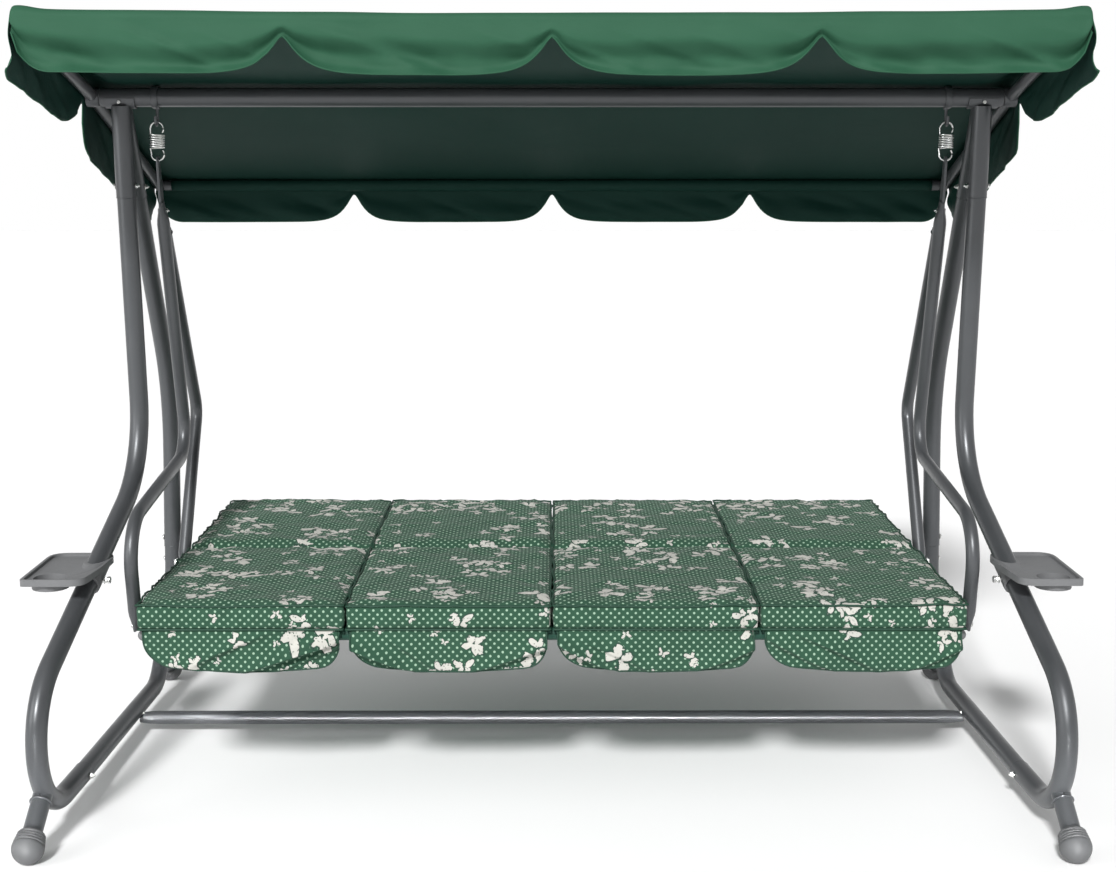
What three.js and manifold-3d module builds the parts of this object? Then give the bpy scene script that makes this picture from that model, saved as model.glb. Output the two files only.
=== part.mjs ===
// Canopy swing bench: a tubular steel stand, a tilting fabric canopy, and a bed hung on two springs
// whose backrest folds up.
// Millimetres, +Z up, the front of the bench faces -Y, the long side runs along X.
import * as THREE from 'three';
import { mergeVertices } from 'three/addons/utils/BufferGeometryUtils.js';
import Module from 'manifold-3d';

const wasm = await Module();
wasm.setup();

// ---------------------------------------------------------------- driving dimensions
const GAP = 0.4;                 // air between pieces that touch on the real object
const SIDES = 12;                // sides of a tube's section
const BEAM_SIDES = 16;
const BEND_STEP = 0.26;          // radians of bend per step of a tube

const LEG_TUBE = 47;             // outside diameters
const LOWER_TUBE = 44;           // rear lower leg, which slides into the front leg's base
const CROSSBAR_TUBE = 35;
const ARM_TUBE = 32;
const SEAT_TUBE = 25;
const CANOPY_TUBE = 30;

const BEAM_HEIGHT = 1640;        // centre line of the top beam, above the floor
const BEAM_HALF = 1112;
const LEG_TOP_X = 1062;          // the legs lean outwards from here
const FRONT_FOOT_X = 1121;
const REAR_FOOT_X = 1090;
const BASE_HEIGHT = 60;          // centre line of the base tubes
const SLEEVE_END = 1394;         // lower end of the corner bracket's sleeves
const SLEEVE_SEAM = 1.2;         // open seam between a sleeve and the leg below it
const SPIGOT_RADIUS = 20;        // narrowed leg end inside the sleeve
const SPIGOT_LENGTH = 60;
const BASE_JOINT_X = 1109;       // where the rear base tube slides into the front one
const BASE_JOINT_Y = -430;
const FOOT_BALL = 70;

const HANG_X = 977;              // plane of the hooks, springs and swing arms
const LOOP_TOP = 1580;           // top of the spring's upper loop
const LOOP_BOTTOM = 1486;
const SPRING_RADIUS = 17;
const SPRING_WIRE = 4;
const SPRING_TURNS = 6;
const HOOK_ROD = 8;
const ARM_TOP = 1380;
const ARM_FOOT_Y = -403;        // where the front arm is bolted to the seat frame

const BED_HALF = 952;            // half the width of the four cushions together
const CUSHIONS = 4;
const CUSHION_GAP = 2;
const BED_FRONT = -515;
const BED_REAR = 687;
const CUSHION_BOTTOM = 428;
const CUSHION_TOP = 485;
const HINGE_Y = 120;             // axis of the fold between seat and backrest
const HINGE_Z = 435;
const FOLD_RELIEF = THREE.MathUtils.degToRad(35);
const FLAP_DROP = 104;
const FLAP_THICK = 8;
const SEAT_FRAME_Z = 410;
const SEAT_FRAME_X = 940;
const PIN_RADIUS = 5;

const CANOPY_X = 1131;           // centre line of the canopy's side tubes
const CANOPY_FRONT = { y: -565, z: 1780 };
const CANOPY_REAR = { y: 680, z: 1413 };
const SHEET_FRONT = { y: -588, z: 1801.5 };
const SHEET_RIDGE = { y: 0, z: 1670 };
const SHEET_REAR = { y: 701, z: 1422 };
const SHEET_HALF = 1152;
const SHEET_THICK = 3;
const VALANCE = { depth: 132, notch: 55, corner: 110 };

const TRAY_TOP = 545;
const TRAY_HEIGHT = 16;
const TRAY_RIM = 7;
const TRAY_FLOOR = 9;
const TRAY_OUTER_X = 1215;
const TRAY_FRONT = -507;
const TRAY_REAR = -236;
const CUP = { x: 1158, y: -455, radius: 38, wall: 4, depth: 28 };

// ---------------------------------------------------------------- materials
function finish(color, roughness, metalness) {
  return new THREE.MeshStandardMaterial({ color, roughness, metalness });
}

const greyPaint = finish(0x76797c, 0.45, 0.35);
const greyPlastic = finish(0x85878a, 0.6, 0);
const zincSteel = finish(0xc4c6c8, 0.3, 0.9);
const canopyCloth = finish(0x4e876e, 0.9, 0);
const cushionCloth = finish(0x3f7a5d, 0.9, 0);
const slingCloth = finish(0x2c5a45, 0.9, 0);

// ---------------------------------------------------------------- geometry helpers
const at = (x, y, z) => new THREE.Vector3(x, y, z);

/** A centre line that is swept station by station, each with its own direction. */
class StationPath extends THREE.Curve {
  constructor() {
    super();
    this.stations = [];
    this.directions = [];
  }

  addStation(point, direction) {
    this.stations.push(point);
    this.directions.push(direction);
  }

  getPointAt(u) {
    return this.stations[this.nearest(u)].clone();
  }

  getTangentAt(u) {
    return this.directions[this.nearest(u)].clone();
  }

  nearest(u) {
    return Math.round(u * (this.stations.length - 1));
  }
}

/** A tube's centre line: straight runs joined by round bends. A corner is [x, y, z, bend radius]. */
class BentPath extends StationPath {
  constructor(corners) {
    super();
    const points = corners.map(([x, y, z]) => at(x, y, z));
    const last = points.length - 1;
    for (let i = 0; i <= last; i += 1) {
      const before = points[i].clone().sub(points[Math.max(i - 1, 0)]).normalize();
      const after = points[Math.min(i + 1, last)].clone().sub(points[i]).normalize();
      if (i === 0) this.addStation(points[i], after);
      else if (i === last) this.addStation(points[i], before);
      else this.addBend(points[i], before, after, corners[i][3]);
    }
  }

  addBend(corner, before, after, radius) {
    const turn = before.angleTo(after);
    const trim = radius * Math.tan(turn / 2);
    const start = corner.clone().addScaledVector(before, -trim);
    const end = corner.clone().addScaledVector(after, trim);
    const inward = after.clone().sub(before).normalize();
    const centre = corner.clone().addScaledVector(inward, radius / Math.cos(turn / 2));
    const steps = Math.max(2, Math.round(turn / BEND_STEP));
    for (let i = 0; i <= steps; i += 1) {
      const near = Math.sin(turn * (1 - i / steps)) / Math.sin(turn);
      const far = Math.sin((turn * i) / steps) / Math.sin(turn);
      const spoke = start.clone().sub(centre).multiplyScalar(near);
      spoke.addScaledVector(end.clone().sub(centre), far);
      const heading = before.clone().multiplyScalar(near).addScaledVector(after, far).normalize();
      this.addStation(centre.clone().add(spoke), heading);
    }
  }
}

/** A centre line through every point of a list, such as a coil's. */
class PointPath extends StationPath {
  constructor(points) {
    super();
    points.forEach((point, i) => {
      const before = points[Math.max(i - 1, 0)];
      const after = points[Math.min(i + 1, points.length - 1)];
      this.addStation(point, after.clone().sub(before).normalize());
    });
  }
}

function circlePoints(x, y, radius, sides) {
  const points = [];
  for (let i = 0; i < sides; i += 1) {
    const angle = (2 * Math.PI * i) / sides;
    points.push(new THREE.Vector2(x + radius * Math.cos(angle), y + radius * Math.sin(angle)));
  }
  return points;
}

function ring(radius, sides = SIDES) {
  return new THREE.Shape(circlePoints(0, 0, radius, sides));
}

function sweep(path, radius, sides) {
  const steps = path.stations.length - 1;
  return new THREE.ExtrudeGeometry(ring(radius, sides), { steps, extrudePath: path });
}

/** A round tube, closed at both ends, along bent corners. */
function tube(diameter, corners, sides = SIDES) {
  return sweep(new BentPath(corners), diameter / 2, sides);
}

/** A flat outline whose corners [x, y, radius] are rounded; radius 0 stays sharp. */
function roundedShape(corners) {
  const shape = new THREE.Shape();
  const count = corners.length;
  corners.forEach(([x, y, radius], i) => {
    const corner = new THREE.Vector2(x, y);
    const previous = new THREE.Vector2(...corners[(i + count - 1) % count]);
    const next = new THREE.Vector2(...corners[(i + 1) % count]);
    const enter = corner.clone().add(previous.sub(corner).setLength(radius));
    const leave = corner.clone().add(next.sub(corner).setLength(radius));
    if (i === 0) shape.moveTo(enter.x, enter.y);
    else shape.lineTo(enter.x, enter.y);
    if (radius > 0) shape.quadraticCurveTo(x, y, leave.x, leave.y);
  });
  return shape;
}

function slab(shape, thickness, curveSegments = 5) {
  return new THREE.ExtrudeGeometry(shape, { depth: thickness, bevelEnabled: false, curveSegments });
}

/** A shape drawn in (y, z) and given its thickness along +X from x. */
function slabAcrossX(shape, x, thickness, curveSegments) {
  const geometry = slab(shape, thickness, curveSegments);
  const axes = new THREE.Matrix4().makeBasis(at(0, 1, 0), at(0, 0, 1), at(1, 0, 0));
  return geometry.applyMatrix4(axes.setPosition(x, 0, 0));
}

/** A shape drawn in (x, z) and given its thickness along -Y from y. */
function slabAcrossY(shape, y, thickness, curveSegments) {
  const geometry = slab(shape, thickness, curveSegments);
  const axes = new THREE.Matrix4().makeBasis(at(1, 0, 0), at(0, 0, 1), at(0, -1, 0));
  return geometry.applyMatrix4(axes.setPosition(0, y, 0));
}

function polygon(points) {
  return new THREE.Shape(points.map(([a, b]) => new THREE.Vector2(a, b)));
}

function cylinder(radius, from, to, sides = SIDES) {
  return tube(radius * 2, [from, to], sides);
}

/** A closed mesh with shared vertices, as the boolean library wants it. */
function welded(geometry) {
  const bare = geometry.clone();
  bare.deleteAttribute('normal');
  bare.deleteAttribute('uv');
  const shared = mergeVertices(bare, 1e-3);
  const corners = shared.index.array;
  const kept = [];
  for (let i = 0; i < corners.length; i += 3) {
    const [a, b, c] = corners.subarray(i, i + 3);
    if (a !== b && b !== c && c !== a) kept.push(a, b, c);
  }
  shared.setIndex(kept);
  return shared;
}

function toSolid(geometry) {
  const mesh = welded(geometry);
  const vertProperties = new Float32Array(mesh.attributes.position.array);
  const triVerts = new Uint32Array(mesh.index.array);
  return new wasm.Manifold(new wasm.Mesh({ numProp: 3, vertProperties, triVerts }));
}

function toGeometry(solid) {
  const { vertProperties, triVerts } = solid.getMesh();
  const geometry = new THREE.BufferGeometry();
  geometry.setAttribute('position', new THREE.BufferAttribute(vertProperties, 3));
  geometry.setIndex(new THREE.BufferAttribute(triVerts, 1));
  return geometry;
}

function join(...parts) {
  return toGeometry(parts.map(toSolid).reduce((whole, part) => whole.add(part)));
}

function cut(base, ...tools) {
  return toGeometry(tools.map(toSolid).reduce((whole, tool) => whole.subtract(tool), toSolid(base)));
}

/** The point that lies a given distance from one point towards another. */
function onLine(from, to, distance) {
  const step = at(...to).sub(at(...from)).normalize().multiplyScalar(distance);
  return at(...from).add(step).toArray();
}

function mirrored(geometry) {
  const copy = welded(geometry);
  copy.scale(-1, 1, 1);
  const index = copy.index.array;
  for (let i = 0; i < index.length; i += 3) {
    [index[i], index[i + 1]] = [index[i + 1], index[i]];
  }
  return copy;
}

// ---------------------------------------------------------------- the bench
const bench = new THREE.Group();

function add(name, geometry, material) {
  const mesh = new THREE.Mesh(geometry, material);
  mesh.name = name;
  bench.add(mesh);
}

/** The right piece is at +X, and the left one is its mirror image. */
function addPair(name, geometry, material) {
  add(`${name}_right`, geometry, material);
  add(`${name}_left`, mirrored(geometry), material);
}

// ---- stand
const FRONT_SLEEVE = { top: [LEG_TOP_X, -4, BEAM_HEIGHT - 20], end: [LEG_TOP_X, 13, SLEEVE_END] };
const REAR_SLEEVE = { top: [LEG_TOP_X, 4, BEAM_HEIGHT - 28], end: [LEG_TOP_X + 3, 136, SLEEVE_END] };
const FRONT_LEG_TOP = onLine(FRONT_SLEEVE.end, FRONT_SLEEVE.top, -SLEEVE_SEAM);
const FRONT_LEG = [
  FRONT_LEG_TOP,
  [LEG_TOP_X - 4, 52, 712, 260],
  [FRONT_FOOT_X, -737, 333, 176],
  [FRONT_FOOT_X, -737, BASE_HEIGHT, 160],
  [BASE_JOINT_X, BASE_JOINT_Y, BASE_HEIGHT],
];
const REAR_LEG_TOP = onLine(REAR_SLEEVE.end, REAR_SLEEVE.top, -SLEEVE_SEAM);
const REAR_KNEE = [LEG_TOP_X + 12, 475, 841];
const REAR_SHIN = [LEG_TOP_X + 25, 470, 285];
const SPLICE_DROP = 441;         // from the knee's corner down to the splice
const REAR_LEG_UPPER = [
  REAR_LEG_TOP,
  [...REAR_KNEE, 570],
  onLine(REAR_KNEE, REAR_SHIN, SPLICE_DROP),
];
const REAR_LEG_LOWER = [
  onLine(REAR_KNEE, REAR_SHIN, SPLICE_DROP + GAP),
  [...REAR_SHIN, 150],
  [REAR_FOOT_X, 247, BASE_HEIGHT, 120],
  [BASE_JOINT_X, BASE_JOINT_Y + GAP, BASE_HEIGHT],
];
const BALL_HEIGHT = FOOT_BALL / 2 - 2;   // the ball's underside is worn to a small flat
const FRONT_BALL = [FRONT_FOOT_X + 3, -820, BALL_HEIGHT];
const REAR_BALL = [REAR_FOOT_X + 18, 478, BALL_HEIGHT];

function footStub(from, ball) {
  return tube(LEG_TUBE - 4, [from, stubEnd(from, ball)]);
}

/** The stub ends inside the ball's socket, which is bored to the same depth. */
function stubEnd(from, ball) {
  const end = at(...ball).lerp(at(...from), 0.12);
  return end.toArray();
}

function ballFoot(from, ball) {
  const sphere = new THREE.SphereGeometry(FOOT_BALL / 2, 16, 10);
  sphere.rotateX(Math.PI / 2);
  sphere.translate(...ball);
  const outward = at(...from).sub(at(...ball)).normalize();
  const socketEnd = at(...stubEnd(from, ball)).addScaledVector(outward, -GAP);
  const collarEnd = at(...ball).addScaledVector(outward, FOOT_BALL * 0.62);
  const collar = tube(LEG_TUBE + 8, [ball, collarEnd.toArray()]);
  const socket = tube(LEG_TUBE - 4 + 2 * GAP, [socketEnd.toArray(), from]);
  return cut(join(sphere, collar), socket, floorBelow());
}

function floorBelow() {
  const floor = new THREE.BoxGeometry(4000, 4000, 100);
  return floor.translate(0, 0, -50);
}

function addLegs() {
  const frontStubRoot = [FRONT_FOOT_X, -708, 112];
  const rearStubRoot = [REAR_FOOT_X, 322, 136];
  const frontLeg = tube(LEG_TUBE, FRONT_LEG);
  const frontStub = footStub(frontStubRoot, FRONT_BALL);
  addPair('front_leg', join(frontLeg, frontStub, spigot(FRONT_SLEEVE)), greyPaint);
  addPair('rear_leg_upper', join(tube(LEG_TUBE, REAR_LEG_UPPER), spigot(REAR_SLEEVE)), greyPaint);
  const rearLower = tube(LOWER_TUBE, REAR_LEG_LOWER);
  addPair('rear_leg_lower', join(rearLower, footStub(rearStubRoot, REAR_BALL)), greyPaint);
  addPair('ball_foot_front', ballFoot(frontStubRoot, FRONT_BALL), greyPlastic);
  addPair('ball_foot_rear', ballFoot(rearStubRoot, REAR_BALL), greyPlastic);
}

// ---- corner brackets and top beam
/** The narrowed end of a leg, which plugs into the bracket's sleeve. */
function spigot({ top, end }) {
  return cylinder(SPIGOT_RADIUS, onLine(end, top, -SLEEVE_SEAM - 5), onLine(end, top, SPIGOT_LENGTH));
}

function spigotBore({ top, end }) {
  return cylinder(SPIGOT_RADIUS + GAP, onLine(end, top, -5), onLine(end, top, SPIGOT_LENGTH + 2));
}

/** Space for the beam and the air round it. */
function beamSeat() {
  return cylinder(LEG_TUBE / 2 + GAP, [900, 0, BEAM_HEIGHT], [1200, 0, BEAM_HEIGHT], BEAM_SIDES);
}

function cornerBracket() {
  const saddle = new THREE.BoxGeometry(LEG_TUBE + 16, LEG_TUBE + 8, 44);
  saddle.translate(LEG_TOP_X, 0, BEAM_HEIGHT - 14);
  const sleeves = [FRONT_SLEEVE, REAR_SLEEVE].map(({ top, end }) => tube(LEG_TUBE + 1, [end, top]));
  return cut(join(...sleeves, saddle), beamSeat(), spigotBore(FRONT_SLEEVE), spigotBore(REAR_SLEEVE));
}

function addTop() {
  addPair('corner_bracket', cornerBracket(), greyPaint);
  const beam = tube(LEG_TUBE, [[-BEAM_HALF, 0, BEAM_HEIGHT], [BEAM_HALF, 0, BEAM_HEIGHT]], BEAM_SIDES);
  add('top_beam', beam, greyPaint);
}

// ---- lower crossbar
function addCrossbar() {
  const reach = REAR_FOOT_X - 8;
  const y = 20;
  const z = 40;
  const bar = tube(CROSSBAR_TUBE, [[-reach, y, z], [reach, y, z]]);
  const base = tube(LOWER_TUBE + 2 * GAP, REAR_LEG_LOWER);
  add('lower_crossbar', cut(bar, base, mirrored(base)), greyPaint);
}

// ---- hooks and springs
function addHooks() {
  const reach = 10;
  const rodCentre = LOOP_TOP - SPRING_WIRE / 2 - GAP - HOOK_ROD / 2;
  const shankTop = BEAM_HEIGHT - LEG_TUBE / 2 - GAP;
  const hook = tube(HOOK_ROD, [
    [HANG_X, reach, shankTop],
    [HANG_X, reach, rodCentre, reach * 0.98],
    [HANG_X, -reach, rodCentre, reach * 0.98],
    [HANG_X, -reach, rodCentre + 20],
  ], 8);
  const collarDrop = 12;
  const collar = new THREE.BoxGeometry(16, 44, collarDrop);
  collar.translate(HANG_X, 0, shankTop - collarDrop / 2 + 4);
  addPair('beam_hook', cut(join(hook, collar), beamSeat()), greyPaint);
}

/** Points of an extension spring: loop, close coils, loop, all in line under the hook. */
function springPoints() {
  const points = [];
  const loopRadius = SPRING_RADIUS - 1;
  const upper = LOOP_TOP - loopRadius;
  const lower = LOOP_BOTTOM + loopRadius;
  const coilTop = upper - 14;
  const coilBottom = lower + 14;
  const loopSteps = 9;
  const turnSteps = 8;
  for (let i = 0; i < loopSteps; i += 1) {
    const angle = -0.2 * Math.PI + (1.2 * Math.PI * i) / loopSteps;
    points.push(at(loopRadius * Math.cos(angle), 0, upper + loopRadius * Math.sin(angle)));
  }
  for (let i = 0; i <= SPRING_TURNS * turnSteps; i += 1) {
    const angle = Math.PI + (2 * Math.PI * i) / turnSteps;
    const z = coilTop + ((coilBottom - coilTop) * i) / (SPRING_TURNS * turnSteps);
    points.push(at(SPRING_RADIUS * Math.cos(angle), SPRING_RADIUS * Math.sin(angle), z));
  }
  for (let i = 1; i <= loopSteps; i += 1) {
    const angle = Math.PI + (1.2 * Math.PI * i) / loopSteps;
    points.push(at(loopRadius * Math.cos(angle), 0, lower + loopRadius * Math.sin(angle)));
  }
  return points.map((point) => point.add(at(HANG_X, 0, 0)));
}

function addSprings() {
  addPair('spring', sweep(new PointPath(springPoints()), SPRING_WIRE / 2, 6), zincSteel);
}

// ---- swing arms
const FRONT_ARM = [
  [HANG_X, 20, ARM_TOP],
  [HANG_X, 212, 722, 85],
  [HANG_X, -450, 655, 110],
  [HANG_X, ARM_FOOT_Y, SEAT_FRAME_Z - 8],
];
const REAR_ARM = [
  [HANG_X, 46, ARM_TOP - 65],
  [HANG_X, 357, 810, 60],
  [HANG_X, HINGE_Y - 8, HINGE_Z - 16],
];

function hingePin(radius) {
  const inner = SEAT_FRAME_X + SEAT_TUBE / 2 + 1.2;
  return cylinder(radius, [inner, HINGE_Y, HINGE_Z], [HANG_X + ARM_TUBE / 2 + 2, HINGE_Y, HINGE_Z], 10);
}

function hangerPlate() {
  const outline = polygon([[-10, LOOP_BOTTOM + 10], [10, LOOP_BOTTOM + 10], [34, ARM_TOP + 10],
    [36, ARM_TOP - 40], [14, ARM_TOP - 40], [4, ARM_TOP + 10]]);
  outline.holes.push(new THREE.Path(circlePoints(0, LOOP_BOTTOM - 1, 6, 10)));
  return slabAcrossX(outline, HANG_X - 3, 6, 5);
}

function addArms() {
  const seatBolt = cylinder(8, [SEAT_FRAME_X + SEAT_TUBE / 2 + GAP, ARM_FOOT_Y, SEAT_FRAME_Z],
    [HANG_X, ARM_FOOT_Y, SEAT_FRAME_Z], 10);
  addPair('front_arm', join(tube(ARM_TUBE, FRONT_ARM), hangerPlate(), seatBolt), greyPaint);
  const cope = tube(ARM_TUBE + 2 * GAP, FRONT_ARM);
  addPair('rear_arm', cut(tube(ARM_TUBE, REAR_ARM), cope, hingePin(PIN_RADIUS + GAP)), greyPaint);
  const armSide = HANG_X + ARM_TUBE / 2 + GAP;
  const head = cylinder(PIN_RADIUS + 4, [armSide, HINGE_Y, HINGE_Z], [armSide + 5, HINGE_Y, HINGE_Z], 10);
  addPair('hinge_pin', join(hingePin(PIN_RADIUS), head), zincSteel);
}

// ---- seat and backrest frames
const SEAT_PLATE_X = SEAT_FRAME_X + SEAT_TUBE / 2 + 1;
const BACK_PLATE_X = SEAT_PLATE_X + 3.5;
const PLATE_THICK = 3;

/** A hinge ear on the outside of a side tube, reaching up to the fold axis. */
function hingePlate(x, towards) {
  const reach = towards * 90;
  const points = [[HINGE_Y - towards * 16, HINGE_Z - 10], [HINGE_Y - towards * 16, HINGE_Z + 10],
    [HINGE_Y - towards * 6, HINGE_Z + 16], [HINGE_Y + towards * 12, HINGE_Z + 14],
    [HINGE_Y + reach, SEAT_FRAME_Z + 9], [HINGE_Y + reach, SEAT_FRAME_Z - 9],
    [HINGE_Y + towards * 24, SEAT_FRAME_Z - 9]];
  const plate = slabAcrossX(polygon(points), x, PLATE_THICK);
  return cut(plate, hingePin(PIN_RADIUS + GAP));
}

function addFrame(prefix, yNear, yFar, plateX, towards) {
  const z = SEAT_FRAME_Z;
  const x = SEAT_FRAME_X;
  const reach = x - SEAT_TUBE / 2 - GAP;
  addPair(`${prefix}_side_tube`, tube(SEAT_TUBE, [[x, yNear, z], [x, yFar, z]]), greyPaint);
  const outer = yFar - Math.sign(yFar - yNear) * (SEAT_TUBE / 2 + 3);
  const inner = yNear + Math.sign(yFar - yNear) * (SEAT_TUBE / 2 + 3);
  add(`${prefix}_outer_tube`, tube(SEAT_TUBE, [[-reach, outer, z], [reach, outer, z]]), greyPaint);
  add(`${prefix}_inner_tube`, tube(SEAT_TUBE, [[-reach, inner, z], [reach, inner, z]]), greyPaint);
  addPair(`${prefix}_hinge_plate`, hingePlate(plateX, towards), greyPaint);
  const low = Math.min(outer, inner) - 10;
  const high = Math.max(outer, inner) + 10;
  const sling = new THREE.BoxGeometry(2 * (x - 26), high - low, 2.4);
  sling.translate(0, (low + high) / 2, z + SEAT_TUBE / 2 + 2);
  add(`${prefix}_sling`, sling, slingCloth);
}

// ---- cushions
function seatCushion(left, width) {
  const lean = (CUSHION_TOP - HINGE_Z) * Math.tan(FOLD_RELIEF);
  const profile = polygon([
    [BED_FRONT, CUSHION_BOTTOM], [HINGE_Y - 1, CUSHION_BOTTOM], [HINGE_Y - 1, HINGE_Z],
    [HINGE_Y - 1 - lean, CUSHION_TOP], [BED_FRONT, CUSHION_TOP],
  ]);
  const pad = slabAcrossX(profile, left, width);
  const inset = 20;
  const hem = CUSHION_BOTTOM - FLAP_DROP;
  const flapOutline = roundedShape([[left + inset, CUSHION_BOTTOM + 12, 0], [left + inset, hem, 38],
    [left + width - inset, hem, 38], [left + width - inset, CUSHION_BOTTOM + 12, 0]]);
  const flap = slabAcrossY(flapOutline, BED_FRONT + FLAP_THICK, FLAP_THICK, 4);
  return join(pad, flap);
}

function backCushion(left, width) {
  const lean = (CUSHION_TOP - HINGE_Z) * Math.tan(FOLD_RELIEF);
  const profile = polygon([
    [HINGE_Y + 1, CUSHION_BOTTOM], [BED_REAR, CUSHION_BOTTOM], [BED_REAR, CUSHION_TOP],
    [HINGE_Y + 1 + lean, CUSHION_TOP], [HINGE_Y + 1, HINGE_Z],
  ]);
  return slabAcrossX(profile, left, width);
}

function addCushions() {
  const pitch = (2 * BED_HALF) / CUSHIONS;
  for (let i = 0; i < CUSHIONS; i += 1) {
    const left = -BED_HALF + i * pitch + CUSHION_GAP / 2;
    const width = pitch - CUSHION_GAP;
    add(`seat_cushion_${i + 1}`, seatCushion(left, width), cushionCloth);
    add(`back_cushion_${i + 1}`, backCushion(left, width), cushionCloth);
  }
}

// ---- canopy
function addCanopyFrame() {
  const front = [CANOPY_X, CANOPY_FRONT.y, CANOPY_FRONT.z];
  const pivot = [CANOPY_X, 0, BEAM_HEIGHT, 400];
  const rear = [CANOPY_X, CANOPY_REAR.y, CANOPY_REAR.z];
  const side = tube(CANOPY_TUBE, [onLine(front, pivot, -14), pivot, onLine(rear, pivot, -14)]);
  const outside = CANOPY_X + CANOPY_TUBE / 2 + GAP;
  const bolt = (radius) => cylinder(
    radius, [BEAM_HALF + 1, 0, BEAM_HEIGHT], [outside + 2, 0, BEAM_HEIGHT], 10,
  );
  addPair('canopy_side_tube', cut(side, bolt(6 + GAP)), greyPaint);
  const head = cylinder(10, [outside, 0, BEAM_HEIGHT], [outside + 5, 0, BEAM_HEIGHT], 10);
  addPair('canopy_pivot_bolt', join(bolt(6), head), zincSteel);
  const reach = CANOPY_X - CANOPY_TUBE / 2 - GAP;
  for (const [name, { y, z }] of [['canopy_front_tube', CANOPY_FRONT], ['canopy_rear_tube', CANOPY_REAR]]) {
    add(name, tube(CANOPY_TUBE, [[-reach, y, z], [reach, y, z]]), greyPaint);
  }
}

/** One panel of the canopy, between two points of its side profile. */
function canopyPanel(from, to) {
  const rise = SHEET_THICK;
  const outline = polygon([[from.y, from.z], [to.y, to.z], [to.y, to.z + rise], [from.y, from.z + rise]]);
  return slabAcrossX(outline, -SHEET_HALF, 2 * SHEET_HALF);
}

/** A hanging border with round tabs between narrow notches, hung from z. */
function scallopedBorder(z, depth, notch) {
  const tabs = 4;
  const pitch = (2 * SHEET_HALF) / tabs;
  const shape = new THREE.Shape();
  shape.moveTo(-SHEET_HALF, z);
  shape.lineTo(-SHEET_HALF, z - notch);
  for (let i = 0; i < tabs; i += 1) {
    const start = -SHEET_HALF + i * pitch;
    const end = start + pitch;
    shape.quadraticCurveTo(start, z - depth, start + VALANCE.corner, z - depth);
    shape.lineTo(end - VALANCE.corner, z - depth);
    shape.quadraticCurveTo(end, z - depth, end, z - notch);
  }
  shape.lineTo(SHEET_HALF, z);
  return shape;
}

/** The side border follows the canopy's two slopes and is notched where the beam passes. */
function sideBorder() {
  const { y: frontY, z: frontZ } = SHEET_FRONT;
  const { y: rearY, z: rearZ } = SHEET_REAR;
  const notchY = -20;
  const notchZ = SHEET_RIDGE.z - 15;
  const shape = new THREE.Shape();
  shape.moveTo(frontY, frontZ);
  shape.lineTo(frontY, frontZ - VALANCE.depth);
  shape.lineTo(notchY - 250, notchZ - 43);
  shape.quadraticCurveTo(notchY - 40, notchZ - 75, notchY, notchZ);
  shape.quadraticCurveTo(notchY, notchZ - 140, notchY + 130, notchZ - 165);
  shape.lineTo(rearY - 200, rearZ - 85);
  shape.quadraticCurveTo(rearY, rearZ - 125, rearY, rearZ - 35);
  shape.lineTo(rearY, rearZ);
  shape.lineTo(SHEET_RIDGE.y, SHEET_RIDGE.z);
  return shape;
}

function addCanopyCover() {
  const ridgeFront = { y: -GAP / 2, z: SHEET_RIDGE.z };
  const ridgeRear = { y: GAP / 2, z: SHEET_RIDGE.z };
  add('canopy_sheet_front', canopyPanel(SHEET_FRONT, ridgeFront), canopyCloth);
  add('canopy_sheet_rear', canopyPanel(ridgeRear, SHEET_REAR), canopyCloth);
  const frontBorder = scallopedBorder(SHEET_FRONT.z, VALANCE.depth, VALANCE.notch);
  add('valance_front', slabAcrossY(frontBorder, SHEET_FRONT.y - GAP, SHEET_THICK), canopyCloth);
  const rearBorder = scallopedBorder(SHEET_REAR.z, VALANCE.depth - 12, 35);
  add('valance_rear', slabAcrossY(rearBorder, SHEET_REAR.y + SHEET_THICK + GAP, SHEET_THICK), canopyCloth);
  addPair('valance_side', slabAcrossX(sideBorder(), SHEET_HALF + GAP, SHEET_THICK), canopyCloth);
}

// ---- trays
const COLLAR_TOP = [1084.6, -281, 552];     // on the leg's centre line, above and below the tray
const COLLAR_END = [1092.9, -385, 502];

function aboveTray() {
  return new THREE.BoxGeometry(400, 400, 100).translate(COLLAR_TOP[0], COLLAR_TOP[1], TRAY_TOP + 50);
}

/** Outline seen from above, pulled in by inset; its inner side wraps the leg. */
function trayOutline(inset) {
  const outer = TRAY_OUTER_X - inset;
  const front = TRAY_FRONT + inset;
  const rear = TRAY_REAR - inset;
  return roundedShape([
    [outer, front, 12], [outer, rear, 45 - inset], [1075 + inset, rear, 12],
    [1058 + inset, -268, 12], [1058 + inset, -374, 14], [1072 + inset, front, 36],
  ]);
}

function tray() {
  const bottom = TRAY_TOP - TRAY_HEIGHT;
  const body = slab(trayOutline(0), TRAY_HEIGHT).translate(0, 0, bottom);
  const pocket = slab(trayOutline(TRAY_RIM), TRAY_HEIGHT).translate(0, 0, bottom + TRAY_FLOOR);
  const outer = CUP.radius + CUP.wall;
  const cupFloor = TRAY_TOP - CUP.depth;
  const bulge = cylinder(outer, [CUP.x, CUP.y, cupFloor - 3], [CUP.x, CUP.y, bottom + TRAY_FLOOR], 20);
  const recess = cylinder(CUP.radius, [CUP.x, CUP.y, cupFloor], [CUP.x, CUP.y, TRAY_TOP + 10], 20);
  const legPassage = tube(LEG_TUBE + 2 * GAP, FRONT_LEG);
  const collar = cut(cylinder(LEG_TUBE / 2 + 6, COLLAR_TOP, COLLAR_END, 16), aboveTray());
  return cut(join(cut(body, pocket), bulge, collar), recess, legPassage);
}

function addTrays() {
  addPair('cup_tray', tray(), greyPlastic);
}

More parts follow.
